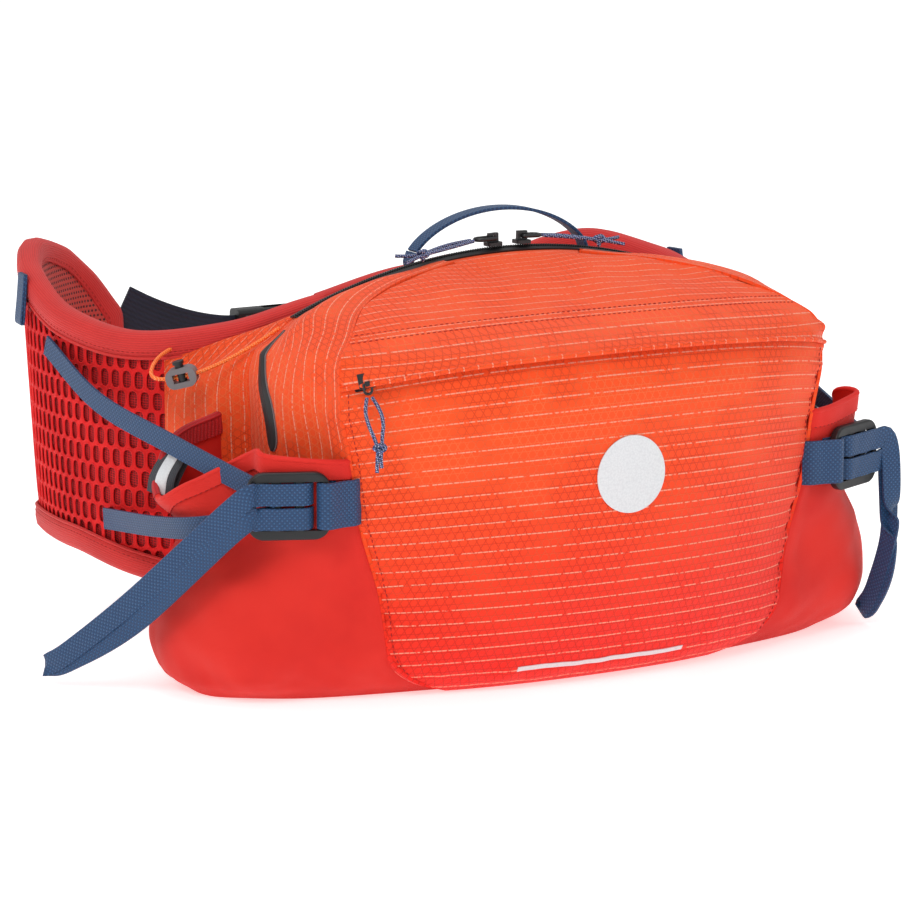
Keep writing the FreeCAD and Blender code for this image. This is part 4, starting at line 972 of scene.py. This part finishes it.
def buildBelt():
    outline = beltOutline()
    ahead = unit(np.roll(outline, -1, axis=0) - np.roll(outline, 1, axis=0))
    inward = np.stack([ahead[:, 1], -ahead[:, 0]], 1)

    def edgeLine(inset, offset):
        flat = outline + inward * inset
        depth = 5.5 + offset
        if offset < 0:
            depth = np.where(np.abs(flat[:, 0]) < 104, np.maximum(depth, 0.3), depth)
        return beltPoint(flat[:, 0], flat[:, 1], depth)

    rim = belt["rim"]
    outside = [(rim, 6.0), (rim - 0.8, 6.6), (rim * 0.6, 7.1), (3.0, 6.6), (0.3, 4.4), (-0.6, 0)]
    inside = [(rim, 5.2), (4.0, 5.0), (1.8, 3.0), (1.2, 0)]
    profile = [(d, -q) for d, q in outside] + outside[-2::-1] + inside + [(d, -q) for d, q in inside[-2::-1]]
    rings = np.stack([edgeLine(d, q) for d, q in profile], 1)
    tube("beltBinding", rings, "binding", closed=True, replaces=("belt_binding",), slot="edge_binding",
         sharp=70.0)
    piping = edgeLine(rim + 1.0, -5.9)
    tube("beltPiping", roundTube(piping, 1.0, 7), "binding", closed=True, slot="edge_binding")
    lines = [edgeLine(rim - 2.2, -6.75), edgeLine(rim - 2.2, 6.75)]
    beadRun("beltStitches", [np.vstack([l, l[:1]]) for l in lines], "stitchDark")
    # foam pads
    across = np.linspace(-1, 1, 26)
    for word, hand in (("left", -1.0), ("right", 1.0)):
        runs = hand * np.linspace(rootRun + 2, beltEnd - 9.0, 70)
        pad("wingPad_" + word, runs, across, "wing_foam_" + word, 2.2, 9.3)
    pad("lumbarPad", np.linspace(-rootRun + 1.5, rootRun - 1.5, 60), across, "lumbar_foam", 0.8, 9.6)
    # wearer's side mesh, with sewn channels on the lumbar part
    runs = np.linspace(-beltEnd + 7, beltEnd - 7, 260)
    edges = beltEdge(np.abs(runs))
    k = np.linspace(-1, 1, 60)[:, None]
    middle, half = edges.mean(axis=1)[None], (edges[:, 0] - edges[:, 1])[None] / 2 - 7.0
    z = middle + half * k
    away = np.abs(runs)[None]
    channel = sum(np.exp(-((away - place) / 3.0) ** 2) for place in (46.0, 98.0))
    ends = np.exp(-((np.abs(z - 112.0) - 74.0) / 3.0) ** 2) * (away < 46)
    puff = 3.2 * smoothStep((1 - np.abs(k)) * 3.0) * (1 - 0.85 * np.clip(channel + ends, 0, 1))
    puff = puff * np.where(away < rootRun, 1.0, 0.55)
    sheet = beltPoint(runs[None], z, 9.9 + puff)
    flatUv = np.stack(np.broadcast_arrays(runs[None], z), 2)
    facing = 1.0 if np.sum(normals(sheet)[30, 130] * [0, 1, 0]) > 0 else -1.0
    piece = sheetPiece("innerMesh", sheet, 1.0, flatUv, facing)
    piece.build("innerMesh", replaces=("belt_inner_mesh",), slot="belt_mesh")


def buildRearSides():  # fabric that runs from the side zips back to the wings
    rows, columns = 46, 30
    t = np.linspace(0, 1, columns)
    for hand, word in rightFirst:
        run = rootRun + 0.25 * (beltEnd - rootRun)
        grid = np.zeros((rows, columns, 3))
        for i, k in enumerate(np.linspace(0, 1, rows)):
            startZ, endZ = 92.0 + 106.0 * k, 84.0 + 84.0 * k
            start = sidePoint(44.0, startZ, 1.0, -0.6).reshape(3)
            end = beltPoint(run, endZ, -0.4).reshape(3)
            end[2] = endZ
            line = start * (1 - t[:, None]) + end * t[:, None]
            bulge = np.sin(np.pi * t) ** 0.8 * (3.5 + 3.0 * math.sin(math.pi * k))
            away = unit(np.array([end[1] - start[1], start[0] - end[0], 0.0]))
            grid[i] = line + away * bulge[:, None]
        soft = ripple(grid, 26.0, 91) * np.sin(np.pi * t)[None]
        grid[..., 0] += soft
        grid = grid * [hand, 1, 1]
        sheetPiece("rearSide_" + word, grid, 1.2).build("side", slot="pack_fabric")


def pad(name, runs, across, node, near, far):
    edges = beltEdge(np.abs(runs))
    middle, half = edges.mean(axis=1)[:, None], (edges[:, 0] - edges[:, 1])[:, None] / 2 - 8.6
    z = middle + half * across[None]
    tuck = 1.4 * np.abs(across[None]) ** 5
    outer = beltPoint(runs[:, None], z, near + tuck)
    inner = beltPoint(runs[:, None], z, far - tuck)
    rings = np.concatenate([outer, inner[:, ::-1]], axis=1)
    made = tube(name, rings, "spacerBack", replaces=(node,), slot="belt_foam", sharp=75.0)


meshHole = {"pitch": 7.6, "row": 11.0, "wide": 2.55, "tall": 4.75, "strut": 1.1}


def holeCell():  # one six-sided cell with a rounded opening
    pitch, row = meshHole["pitch"], meshHole["row"]
    side = row * 0.41
    point = row - side
    corners = [(pitch / 2, -side), (pitch / 2, side), (0, point), (-pitch / 2, side), (-pitch / 2, -side),
               (0, -point)]
    outer, inner = [], []
    for i, a in enumerate(corners):
        b = corners[(i + 1) % 6]
        for f in (0.0, 1 / 3, 2 / 3):
            x, y = a[0] + (b[0] - a[0]) * f, a[1] + (b[1] - a[1]) * f
            angle = math.atan2(y / meshHole["tall"], x / meshHole["wide"])
            c, s = math.cos(angle), math.sin(angle)
            inner.append((meshHole["wide"] * math.copysign(abs(c) ** 0.7, c),
                          meshHole["tall"] * math.copysign(abs(s) ** 0.7, s)))
            outer.append((x, y))
    mid = [((a[0] + b[0]) / 2, (a[1] + b[1]) / 2) for a, b in zip(outer, inner)]
    rings = ((outer, 0.0), (mid, 0.0006), (inner, 0.0001))
    points = [(x * mm, y * mm, rise) for ring, rise in rings for x, y in ring]
    count = len(outer)
    faces = []
    for low in (0, count):
        for i in range(count):
            after = (i + 1) % count
            faces.append((low + i, low + after, low + count + after, low + count + i))
    mesh = bpy.data.meshes.new("holeCell")
    mesh.from_pydata(points, [], faces)
    return bpy.data.objects.new("holeCell", mesh)


def openMeshTree():
    bush = Bush("openMesh", Cell="Object", Pitch="Float", Row="Float", Columns="Int", Rows="Int",
                Material="Material")
    given = bush.given.outputs

    def maths(operation, first, second):
        return bush.node("ShaderNodeMath", {"operation": operation}, {0: first, 1: second})

    width = maths("MULTIPLY", given["Pitch"], maths("SUBTRACT", given["Columns"], 1.0))
    height = maths("MULTIPLY", given["Row"], maths("SUBTRACT", given["Rows"], 1.0))
    grid = bush.node("GeometryNodeMeshGrid", {}, {"Size X": width, "Size Y": height,
                                                  "Vertices X": given["Columns"],
                                                  "Vertices Y": given["Rows"]})
    place = bush.node("ShaderNodeSeparateXYZ", {}, {0: bush.node("GeometryNodeInputPosition")})
    line = maths("DIVIDE", maths("ADD", place.outputs[1], maths("MULTIPLY", height, 0.5)), given["Row"])
    odd = maths("MULTIPLY", maths("GREATER_THAN", maths("FLOORED_MODULO", maths("ADD", line, 0.1), 2.0),
                                  1.0), 0.5)
    shift = bush.node("ShaderNodeCombineXYZ", {}, {0: maths("MULTIPLY", odd, given["Pitch"])})
    moved = bush.node("GeometryNodeSetPosition", {}, {"Geometry": grid, "Offset": shift})
    cell = bush.node("GeometryNodeObjectInfo", {}, {"Object": given["Cell"]})
    laid = bush.node("GeometryNodeInstanceOnPoints", {}, {"Points": moved})
    bush.tree.links.new(cell.outputs["Geometry"], laid.inputs["Instance"])
    real = bush.node("GeometryNodeRealizeInstances", {}, {"Geometry": laid})
    merged = bush.node("GeometryNodeMergeByDistance", {}, {"Geometry": real, "Distance": 0.00005})
    done = bush.node("GeometryNodeSetMaterial", {}, {"Geometry": merged, "Material": given["Material"]})
    bush.tree.links.new(done.outputs[0], bush.result.inputs[0])
    return bush


def buildOpenMesh():
    cell, bush = holeCell(), openMeshTree()
    length = beltEnd - rootRun
    columns, rows = int(length / meshHole["pitch"]) + 2, 18
    for word, hand in (("left", -1.0), ("right", 1.0)):
        name = "spacerMesh_" + word
        carrier = added(name, bpy.data.meshes.new(name))
        mesh = bush.run(carrier, Cell=cell, Pitch=meshHole["pitch"] * mm, Row=meshHole["row"] * mm,
                        Columns=columns, Rows=rows, Material=looks["spacer"])
        count = len(mesh.vertices)
        flat = np.zeros(count * 3)
        mesh.vertices.foreach_get("co", flat)
        flat = flat.reshape(-1, 3) * 1000.0
        run = rootRun + length / 2 + flat[:, 0] + 2.0
        z = 128.0 + flat[:, 1]
        edges = beltEdge(np.clip(run, 0, beltEnd))
        middle, half = edges.mean(axis=1), (edges[:, 0] - edges[:, 1]) / 2
        inside = (np.abs(z - middle) < half - 5.0) & (run > rootRun + 1.0) & (run < beltEnd - 6.0)
        crown = 1.5 * np.abs((z - middle) / half) ** 5
        place = beltPoint(hand * run, z, 0.9 + crown - flat[:, 2])
        drop = bmesh.new()
        drop.from_mesh(mesh)
        drop.verts.ensure_lookup_table()
        layer = drop.loops.layers.uv.get("UVMap") or drop.loops.layers.uv.new("UVMap")
        for face in drop.faces:
            for loop in face.loops:
                at = loop.vert.index
                loop[layer].uv = (run[at] * mm, z[at] * mm)
        for i, vert in enumerate(drop.verts):
            vert.co = place[i] * mm
        bmesh.ops.delete(drop, geom=[v for i, v in enumerate(drop.verts) if not inside[i]], context="VERTS")
        if hand < 0:
            bmesh.ops.reverse_faces(drop, faces=drop.faces)
        drop.to_mesh(mesh)
        drop.free()
        made = added(name, mesh)
        thick = made.modifiers.new("strutDepth", "SOLIDIFY")
        thick.thickness, thick.offset = meshHole["strut"] * mm, -1.0
        made = baked(made)
        made.data.shade_smooth()
        settle(made, "root", ("wing_mesh_" + word,))
    old = cell.data
    bpy.data.objects.remove(cell)
    bpy.data.meshes.remove(old)


def baked(made):  # keeps what the modifiers make, and drops them
    bpy.context.view_layer.update()
    graph = bpy.context.evaluated_depsgraph_get()
    mesh = bpy.data.meshes.new_from_object(made.evaluated_get(graph), depsgraph=graph)
    mesh.name = made.name
    made.modifiers.clear()
    made.data = mesh
    return made


buildBelt()
buildRearSides()
buildOpenMesh()
print("belt built")

# bottle pockets
pocketRows = [(0, 200, 13, 0), (9, 211, 7, 0), (32, 219, 0, 0), (62, 213, 0, 0), (88, 204, 0, 4),
              (106, 217, 0, 15), (125, 216, 0, 17), (185, 207, 0, 17)]
pocketAt = curveThrough([row[0] for row in pocketRows], [row[1:] for row in pocketRows])
mouthAt = curveThrough([-79, -49, -24, 12, 36, 47, 59, 71], [128, 132, 137, 116, 104, 113, 144, 170])


def pocketSheet(columns=90, rows=80):
    heights = np.linspace(0, 176, 120)
    field = []
    for z in heights:
        outer, pinch, tuck = pocketAt(z)
        seam = bodyAt(levelAt(z))[1]
        front, back = -49.0 + pinch, 59.0 - pinch * 0.5
        plan = [(seam - 1.0, front + 1.0), (seam + 6.0, front), (seam * 0.4 + outer * 0.6, front + 15.0),
                (outer - 11.0 - tuck, front + 36.0),
                (outer - 0.4 * tuck, 14.0), (outer - 1.0, 34.0), (outer - 13.0, back - 6.0),
                (seam + 14.0, back)]
        field.append(along(plan, columns))
    field = np.array(field)
    sheet = np.zeros((rows, columns, 3))
    top = np.zeros(columns)
    for j in range(columns):
        above = heights - mouthAt(field[:, j, 1])[:, 0]
        top[j] = np.interp(0.0, above, heights) if above[-1] > 0 else heights[-1]
        z = top[j] * np.linspace(0, 1, rows)
        sheet[:, j, 0] = np.interp(z, heights, field[:, j, 0])
        sheet[:, j, 1] = np.interp(z, heights, field[:, j, 1])
        sheet[:, j, 2] = z
    out = outwards(sheet)
    rise = np.clip(sheet[..., 2] / 14.0, 0, 1)
    ends = np.clip(np.minimum(np.arange(columns), columns - 1 - np.arange(columns)) / 6.0, 0, 1)[None]
    soft = ripple(sheet * [1, 1, 0.55], 62.0, 31) * 1.5 + ripple(sheet * [0.8, 0.8, 1.2], 30.0, 37) * 0.6
    gather = ripple(sheet * [1, 1, 0.15], 14.0, 41) * np.exp(-sheet[..., 2] / 14.0) * 0.9
    return sheet + out * ((soft + gather) * rise * ends)[..., None], top


def buildPockets():
    sheet, top = pocketSheet()
    rows, columns = sheet.shape[:2]
    foot = sheet[0].copy()
    inner = np.stack([np.full(columns, 92.0), foot[:, 1] * 0.95, np.full(columns, 0.5)], 1)
    base = np.stack([inner * k + foot * (1 - k) for k in np.linspace(1, 0, 8)[:-1]])
    base[..., 2] = 0.5 + 0.4 * np.sin(np.linspace(0, math.pi, 7))[:, None]
    whole = np.concatenate([base, sheet])
    hemRows = int(rows * 0.08)
    out = outwards(sheet)
    split = int(columns * 0.66)
    for hand, word in rightFirst:
        flip = np.array([hand, 1, 1])
        piece = sheetPiece("bottlePocket_" + word, whole * flip, 1.5)
        piece.build("pocket", replaces=("bottle_pocket_" + word,), slot="pocket_fabric")
        hem = (sheet + out * 0.9)[-hemRows:]
        hem = np.concatenate([hem, hem[-1:] + [0, 0, 0.8]])
        piece = sheetPiece("pocketHem_" + word, hem[:, :split + 1] * flip, 2.8)
        piece.build("hem", replaces=("pocket_hem_" + word,), slot="pocket_fabric")
        sheetPiece("pocketRim_" + word, hem[:, split:] * flip, 3.4).build("rim", slot="edge_binding")
        lip = (sheet[-1] + out[-1] * -0.5 + [0, 0, 0.6]) * flip
        tube("pocketLip_" + word, roundTube(along(lip[:split + 1], 120), 1.7, 10), "hem",
             slot="pocket_fabric")
        tube("pocketRimLip_" + word, roundTube(along(lip[split:], 60), 2.2, 10), "rim", slot="edge_binding")
        line = (sheet[-hemRows] + out[-hemRows] * 0.8)[2:split] * flip
        beadRun("pocketStitches_" + word, [line], "stitchDark")


buildPockets()
print("pockets built")

# where the ladder locks stand
ladder = {"pivot": (160.9, -50.4, 111.0), "turn": math.radians(24.0), "drop": 7.0, "off": 4.2}


def ladderPoint(x, y, z):
    c, s = math.cos(ladder["turn"]), math.sin(ladder["turn"])
    px, py, pz = ladder["pivot"]
    return np.array([px + x * c - y * s, py + x * s + y * c, pz + z])


def upright(points):
    points = [np.asarray(p, float) for p in points]
    found = []
    for i, p in enumerate(points):
        ahead = points[min(i + 1, len(points) - 1)] - points[max(i - 1, 0)]
        found.append((p, np.array([0, 0, 1.0]) - ahead * (ahead[2] / ahead.dot(ahead))))
    return found


def placed(stations, hand, drop):
    flip = [hand, 1, 1]
    return [(np.asarray(p) * flip - [0, 0, drop], np.asarray(a) * flip) for p, a in stations]


loopEnds = {"right": ([202.0, -20, 16], 7.0, [2, -12, 0]), "left": ([264.0, 74, 12], 4.0, [0, -6, -4])}


def buildStraps():
    off = ladder["off"]
    for hand, word in rightFirst:
        drop = ladder["drop"] if hand > 0 else 0.0
        droop = (belt["droop"] - ladder["drop"]) if hand > 0 else 0.0
        lock = "ladder_lock_" + word
        seam = np.array([142.9, -49.8, 111.0])
        path = [seam + [-3.0, 0.6, 0], seam + [1.5, -2.6, 0], seam + [9.0, -3.2, 0],
                ladderPoint(-2.0, -off, 0)]
        path += [ladderPoint(off * 0.98 * math.sin(a), -off * math.cos(a), 0)
                 for a in np.radians([20, 55, 90, 125, 160])]
        path += [ladderPoint(-2.0, off, 0), seam + [11.0, 1.6, 0]]
        stations = placed([(p, (0, 0, 1)) for p in path], hand, drop)
        strap("anchorWebbing_" + word, stations, 25.0, 1.6, "webbing", count=60,
              replaces=("anchor_webbing_" + word,), slot="blue_webbing")
        for kind, share, height, sign in (("upper", 0.50, 168.0, 1.0), ("lower", 0.36, 77.0, -1.0)):
            run = rootRun + share * (beltEnd - rootRun)
            height -= droop * smoothStep((share - 0.25) / 0.45) if hand > 0 else 0.0
            root = beltPoint(run, height, -2.6)
            if hand > 0:
                root[2] = height
            start = ladderPoint(31.5, off * 0.2, sign * 6.6)
            if kind == "upper":
                middle = [start * 0.62 + root * 0.38 + [5.0, 0, 0.5],
                          start * 0.28 + root * 0.72 + [4.0, 0, 0.0]]
            else:
                middle = [np.array([211.6, -4.0, 96.0]), np.array([213.0, 44.0, 88.0])]
            if hand < 0:
                root = beltPoint(-run, height, -2.6) * [-1, 1, 1]
            inside = ladderPoint(24.5, 1.8, sign * 6.6)
            stations = placed(upright([inside, start] + middle + [root]), hand, drop)
            made = strap(kind + "Strap_" + word, stations, 12.0, 1.6, "webbing", None, 60,
                         replaces=(kind + "_strap_" + word,), slot="blue_webbing")
            far = stations[2][0] * mm
            near = stations[1][0] * mm
            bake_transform(made)
        tip, step, flare = loopEnds[word]
        tip, flare = np.array(tip), np.array(flare)
        wrap = [(7.0, 2.2), (8.6, -1.6), (11.5, -3.6), (19.0, -3.4), (26.0, -3.9), (36.0, -4.2)]
        legs = []
        for sign in (1.0, -1.0):
            leave = ladderPoint(47.0, -off - 2.0, sign * 6.6 - 4.0)
            middle = leave * 0.45 + tip * 0.55 + flare + [0, 0, sign * step]
            near = middle * 0.22 + tip * 0.78 + flare * 0.35 + [0, 0, sign * step * 0.35]
            route = [ladderPoint(x, y, sign * 6.5) for x, y in wrap]
            route += [leave, middle, near, tip + [0, 0, sign * 0.7]]
            aside = np.array([0, -sign * 1.1, 0])
            legs.append([(p + aside * (i > 5), a) for i, (p, a) in enumerate(upright(route))])
        onward = unit(tip - ladderPoint(47.0, -off - 2.0, -4.0))
        fold = [(tip + onward * 1.6, legs[0][-1][1])]
        stations = placed(legs[0] + fold + legs[1][::-1], hand, drop)
        strap("pullLoop_" + word, stations, 12.0, 1.6, "webbing", lock, 150,
              replaces=("pull_loop_" + word,), slot="blue_webbing")


def buildHandle():
    angles = np.linspace(0, math.pi, 61)
    line = np.stack([-56.0 * np.cos(angles), np.full(61, 47.4), 219.0 + 26.0 * np.sin(angles) ** 1.3], 1)
    above = line[line[:, 2] > 223.6]
    strap("carryHandle", [(p, (0, 1, 0)) for p in above[::3]] + [(above[-1], (0, 1, 0))], 10.0, 1.8,
          "webbing", "carry_handle", 80,
          replaces=("carry_handle",), slot="blue_webbing")
    for hand, word in leftFirst:
        end = [(-55.0, 47.4, 214.5), (-56.0, 47.4, 218.5), (-55.2, 47.4, 221.0), (-53.9, 47.4, 224.2)]
        made = strap("handleEnd_" + word, [(np.array(p) * [-hand, 1, 1], (0, 1, 0)) for p in end], 10.0,
                     1.8, "webbing", None, 14,
                     slot="blue_webbing", replaces=("handle_ends",) if hand < 0 else ())
        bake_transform(made)


def buildBeltWebbing():
    low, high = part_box("buckle_socket")
    y, z = (low[1] + high[1]) * 500.0, (low[2] + high[2]) * 500.0
    for hand, word, toX, droop in ((1.0, "right", 21.0, 21.0), (-1.0, "left", 36.0, 0.0)):
        start = np.array([117.0, y, 160.0 - droop])
        stations = []
        for t in np.linspace(0, 1, 7):
            x = start[0] + (toX - start[0]) * t
            height = z + (start[2] - z) * (1 - t) ** 1.8
            stations.append((np.array([hand * x, y, height]), np.array([0.22 * (1 - t) * hand, 0, 1])))
        body = "root" if hand < 0 else None
        made = strap("beltWebbing_" + word, stations, 38.0, 1.6, "belt", body, 60,
                     replaces=("belt_webbing_" + word,), slot="belt_webbing")
        if hand > 0:
            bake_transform(made)
    x, back = 18.0, y + 7.0
    points = [(x, back, z), (x + 12.0, back + 3.0, z - 3.0), (x + 34.0, back + 5.0, z - 22.0),
              (x + 46.0, back + 4.0, z - 48.0)]
    across = [(0, 0, 1), (0.2, 0, 1), (0.75, 0, 0.66), (1, 0, 0.35)]
    strap("beltTail", list(zip(points, across)), 36.0, 1.6, "belt", "buckle_plug", 50,
          replaces=("belt_tail",), slot="belt_webbing")


buildStraps()
buildHandle()
buildBeltWebbing()
print("webbing built")


# gear loops on the wings, tabs on the pockets
gearLoop = [(204.0, -1.6), (190.0, -3.4), (177.0, -5.2), (176.0, -6.2), (178.0, -6.6), (190.0, -4.6),
            (204.0, -2.6)]


def buildLoops():
    for hand, word in rightFirst:
        run = hand * (rootRun + 0.585 * (beltEnd - rootRun))
        points = [beltPoint(run, z, depth) for z, depth in gearLoop]
        way = unit(beltPoint(run + 1.0, 200.0, 0.0) - beltPoint(run - 1.0, 200.0, 0.0))
        replaced = ("wing_loops",) if hand > 0 else ()
        strap("gearLoop_" + word, [(p, way) for p in points], 12.0, 1.3, "webbing", "root", 40,
              slot="blue_webbing", replaces=replaced)
        low = np.array([212.0, 42.0, 106.0])
        top = low + [-13.0, 5.0, 19.0]
        across = np.array([0.55, 0.83, 0.0])
        out = np.array([1.4, -0.9, 0.8])
        mid = (low + top) / 2
        points = [low, mid + [3, -2, 0] + out, top + out, top + [-1.6, 1.0, 1.6], top - out,
                  mid + [1, -0.6, 0] - out, low - out]
        stations = [(p * [hand, 1, 1], across * [hand, 1, 1]) for p in points]
        replaced = ("pocket_tabs",) if hand > 0 else ()
        strap("pocketTab_" + word, stations, 16.0, 0.9, "tabGrey", "root", 40, slot="reflective",
              replaces=replaced)
        stripe = [(p + np.array([hand * 0.5, -0.35, 0.35]), a) for p, a in stations[:4]]
        strap("pocketTabStripe_" + word, stripe, 7.0, 0.5, "patch", "root", 24, slot="reflective")


buildLoops()


cords = {"pull": 0.002, "elastic": 0.0022}


def turned(points, axis, centre, degrees):
    axis, centre = np.asarray(axis, float), np.asarray(centre, float)
    rotation = np.array(Matrix.Rotation(math.radians(degrees), 3, Vector(axis)))
    return (np.asarray(points, float) - centre) @ rotation.T + centre


def cordCurve(name, points, diameter, look, body, replaces=()):
    curve = bpy.data.curves.new(name, "CURVE")
    curve.dimensions, curve.bevel_depth, curve.bevel_resolution = "3D", diameter / 2, 3
    curve.use_fill_caps = True
    curve.resolution_u = 12
    spline = curve.splines.new("NURBS")
    spline.points.add(len(points) - 1)
    for place, point in zip(spline.points, points):
        place.co = (*(c * mm for c in point), 1.0)
    spline.order_u = 3
    spline.use_endpoint_u = True
    curve.materials.append(looks[look])
    return settle(added(name, curve), body, replaces)


def knot(name, centre, size, wire, look, body):
    t = np.linspace(0, 2 * math.pi, 73)[:-1]
    line = [np.sin(t) + 2 * np.sin(2 * t), np.cos(t) - 2 * np.cos(2 * t), -1.4 * np.sin(3 * t)]
    line = np.stack(line, 1) * size / 3.0
    line = line[:, [0, 2, 1]] + np.asarray(centre)
    ahead = unit(np.roll(line, -1, axis=0) - np.roll(line, 1, axis=0))
    side = unit(np.cross(ahead, line - centre))
    lift = np.cross(ahead, side)
    angles = np.linspace(0, 2 * math.pi, 9)[:-1]
    rings = np.stack([line + (side * math.cos(a) + lift * math.sin(a)) * wire for a in angles], 1)
    return tube(name, rings, look, body, closed=True, slot="pull_cord")


topPull = {
    "start": (-13.2, 36.0, 230.3), "knot": (-34, -5, -4),
    "legs": [[(0, 1.6, -0.3), (-8, 2.2, -0.8), (-17, 1.6, -1.7), (-26, -1.2, -2.8), (-34, -3.9, -4.0),
              (-42, -3.4, -4.2), (-49, -1.0, -3.6)],
             [(0, -1.6, -0.3), (-9, -4.2, -0.9), (-18, -5.9, -1.8), (-27, -6.0, -2.9), (-34, -6.1, -4.0),
              (-41, -8.0, -5.0), (-47, -11.2, -6.2)]],
    "lengths": (0.0504, 0.0489),
}
stashPull = {
    "pivot": (0.0, -85.58, 185.42), "knot": (0, -12.0, -25),
    "legs": [[(-1.4, 0, 0), (-4.0, -4.4, -5), (-3.8, -8.2, -12), (-1.9, -10.4, -19), (-0.9, -12.0, -25),
              (-2.4, -13.0, -31), (-3.4, -13.4, -37)],
             [(1.4, 0, 0), (4.2, -4.8, -6), (4.3, -8.6, -13), (2.4, -10.4, -19), (1.1, -12.0, -25),
              (-0.4, -12.8, -30), (-0.6, -13.0, -35)]],
    "lengths": (0.0402, 0.0384),
}
elastics = {
    "left": ([(-178, 92, 175), (-192, 87, 172), (-203, 72, 160), (-172, 46, 170.5), (-139, 41.5, 190)],
             0.1114),
    "right": ([(178, 92, 173), (195, 84, 172), (210, 66, 165), (176, 43, 175), (139, 41.5, 189)], 0.1181),
}


def pullSet(name, legs, knotAt, lengths, body, node):
    tie = knot(name + "Knot", knotAt, 3.0, 1.05, "cord", body)
    for leg, length, letter in zip(legs, lengths, "ab"):
        replaced = (node,) if letter == "a" else ()
        piece = cordCurve(name + "_" + letter, leg, cords["pull"], "cord", body, replaced)
        [c * mm for c in leg[0]]
        [tie] if letter == "a" else []


def buildCords():
    for hand, word in ((1.0, "left"), (-1.0, "right")):
        start = np.array(topPull["start"])
        *legs, at = [turned(np.array(part) + start, (0, 1, 0), (0, mainZip["y"], mainZip["z"]),
                            -1.587) * [hand, 1, 1]
                     for part in topPull["legs"] + [topPull["knot"]]]
        pullSet("topPull_" + word, legs, at, topPull["lengths"], "top_puller_" + word,
                "top_pull_cord_" + word)
    start = np.array(stashPull["pivot"]) + [0, -0.8, -7.2]
    axis, centre = (0, *stash["up"]), stash["centre"]
    *legs, at = [turned(np.array(part) + start, axis, centre, -21.1)
                 for part in stashPull["legs"] + [stashPull["knot"]]]
    pullSet("stashPull", legs, at, stashPull["lengths"], "stash_puller", "stash_pull_cord")
    for word, (points, length) in elastics.items():
        piece = cordCurve("elastic_" + word, points, cords["elastic"], "elastic", "root",
                          ("elastic_cord_" + word,))


buildCords()
print("cords built")


def onFront(x, z, lift):
    level = levelAt(z)
    return frontSkin(x / bodyPart(level, "seam")[0], level, lift)


def buildMarks():
    u, v = np.meshgrid(np.linspace(-1, 1, 49), np.linspace(-1, 1, 49))
    disc = onFront(21.0 * u * np.sqrt(1 - v * v / 2), 119.34 + 21.0 * v * np.sqrt(1 - u * u / 2), 0.7)
    sheetPiece("roundMark", disc, 0.5).build("patch", replaces=("emblem",), slot="reflective")
    x = np.linspace(-52, 52, 130)[None]
    z = 12.5 + 0.35 * np.sin(x / 8.0) + np.linspace(-1.3, 1.3, 5)[:, None]
    piece = sheetPiece("reflectiveStrip", onFront(x + 0 * z, z, 0.4), 0.5)
    piece.build("patch", replaces=("reflective_strip",), slot="reflective")


def buildStashZip():
    angle = np.radians(np.linspace(-22.0, 22.0, 121))[None]
    height = np.linspace(-4.2, 4.2, 9)[:, None]
    inward = np.array([0, stash["up"][1], -stash["up"][0]])
    upward = np.array([0, stash["up"][0], stash["up"][1]])
    centre = np.array(stash["centre"])
    for name, radius, tall, look in (("stashTape", 387.2, 1.0, "zip"), ("stashCoil", 387.9, 0.3, "coil")):
        out = np.sin(angle)[..., None] * np.array([1.0, 0, 0]) - np.cos(angle)[..., None] * inward
        sheet = centre + out * radius + (height * tall)[..., None] * upward
        replaced = ("stash_zip",) if look == "zip" else ()
        sheetPiece(name, sheet, 0.7).build(look, slot="zip_tape", replaces=replaced)


def buildStitches():
    shareRow = np.linspace(-0.985, 0.985, 200)
    rows = [frontSkin(shareRow, levelAtSlit(shareRow, h), 0.25) for h in (22.6, 27.5)]
    beadRun("topStitches", rows, "stitchDark")
    z = np.linspace(14, 168, 120)
    seams = [frontSkin(np.full(120, s), levelAt(z), 0.4) for s in (-0.975, 0.975)]
    beadRun("seamStitches", seams, "stitchDark")


buildMarks()
buildStashZip()
buildStitches()


# springs under the cord locks' buttons
spring = {"radius": 1.8, "wire": 0.3, "turns": 4.0, "foot": -4.75, "top": -2.55, "along": 0.46}


def buildSprings():
    for word, (points, length) in elastics.items():
        a, b = np.array(points[2], float), np.array(points[3], float)
        ahead = unit(b - a)
        turn = Vector((1, 0, 0)).rotation_difference(Vector(ahead)).to_matrix()
        up, side = np.array(turn @ Vector((0, 0, 1))), np.array(turn @ Vector((0, 1, 0)))
        centre = a + (b - a) * spring["along"]
        t = np.linspace(0, 1, 90)
        angle = t * spring["turns"] * 2 * math.pi
        radial = np.cos(angle)[:, None] * ahead + np.sin(angle)[:, None] * side
        height = spring["foot"] + spring["wire"] + (spring["top"] - spring["foot"] - 2 * spring["wire"]) * t
        line = centre + radial * spring["radius"] + height[:, None] * up
        made = tube("pressSpring_" + word, roundTube(line, spring["wire"], 7), "spring", "root",
                    replaces=("lock_spring_" + word,), slot="spring_steel")
        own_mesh(made)


buildSprings()


def paintNodes():
    finishes = {"buckle_plug": "black", "buckle_socket": "black", "stash_slider": "metal",
                "stash_puller": "metal", "frame_sheet": "sheet"}
    pairs = {"ladder_lock_": "black", "top_slider_": "metal", "top_puller_": "metal",
             "cord_lock_": "grey", "lock_plunger_": "black"}
    finishes.update({name + word: look for name, look in pairs.items() for word in ("left", "right")})
    for name, look in finishes.items():
        for slot in nodes[name].material_slots:
            slot.material = looks[look]
        if not nodes[name].material_slots:
            nodes[name].data.materials.append(looks[look])


paintNodes()
print("all pieces built")
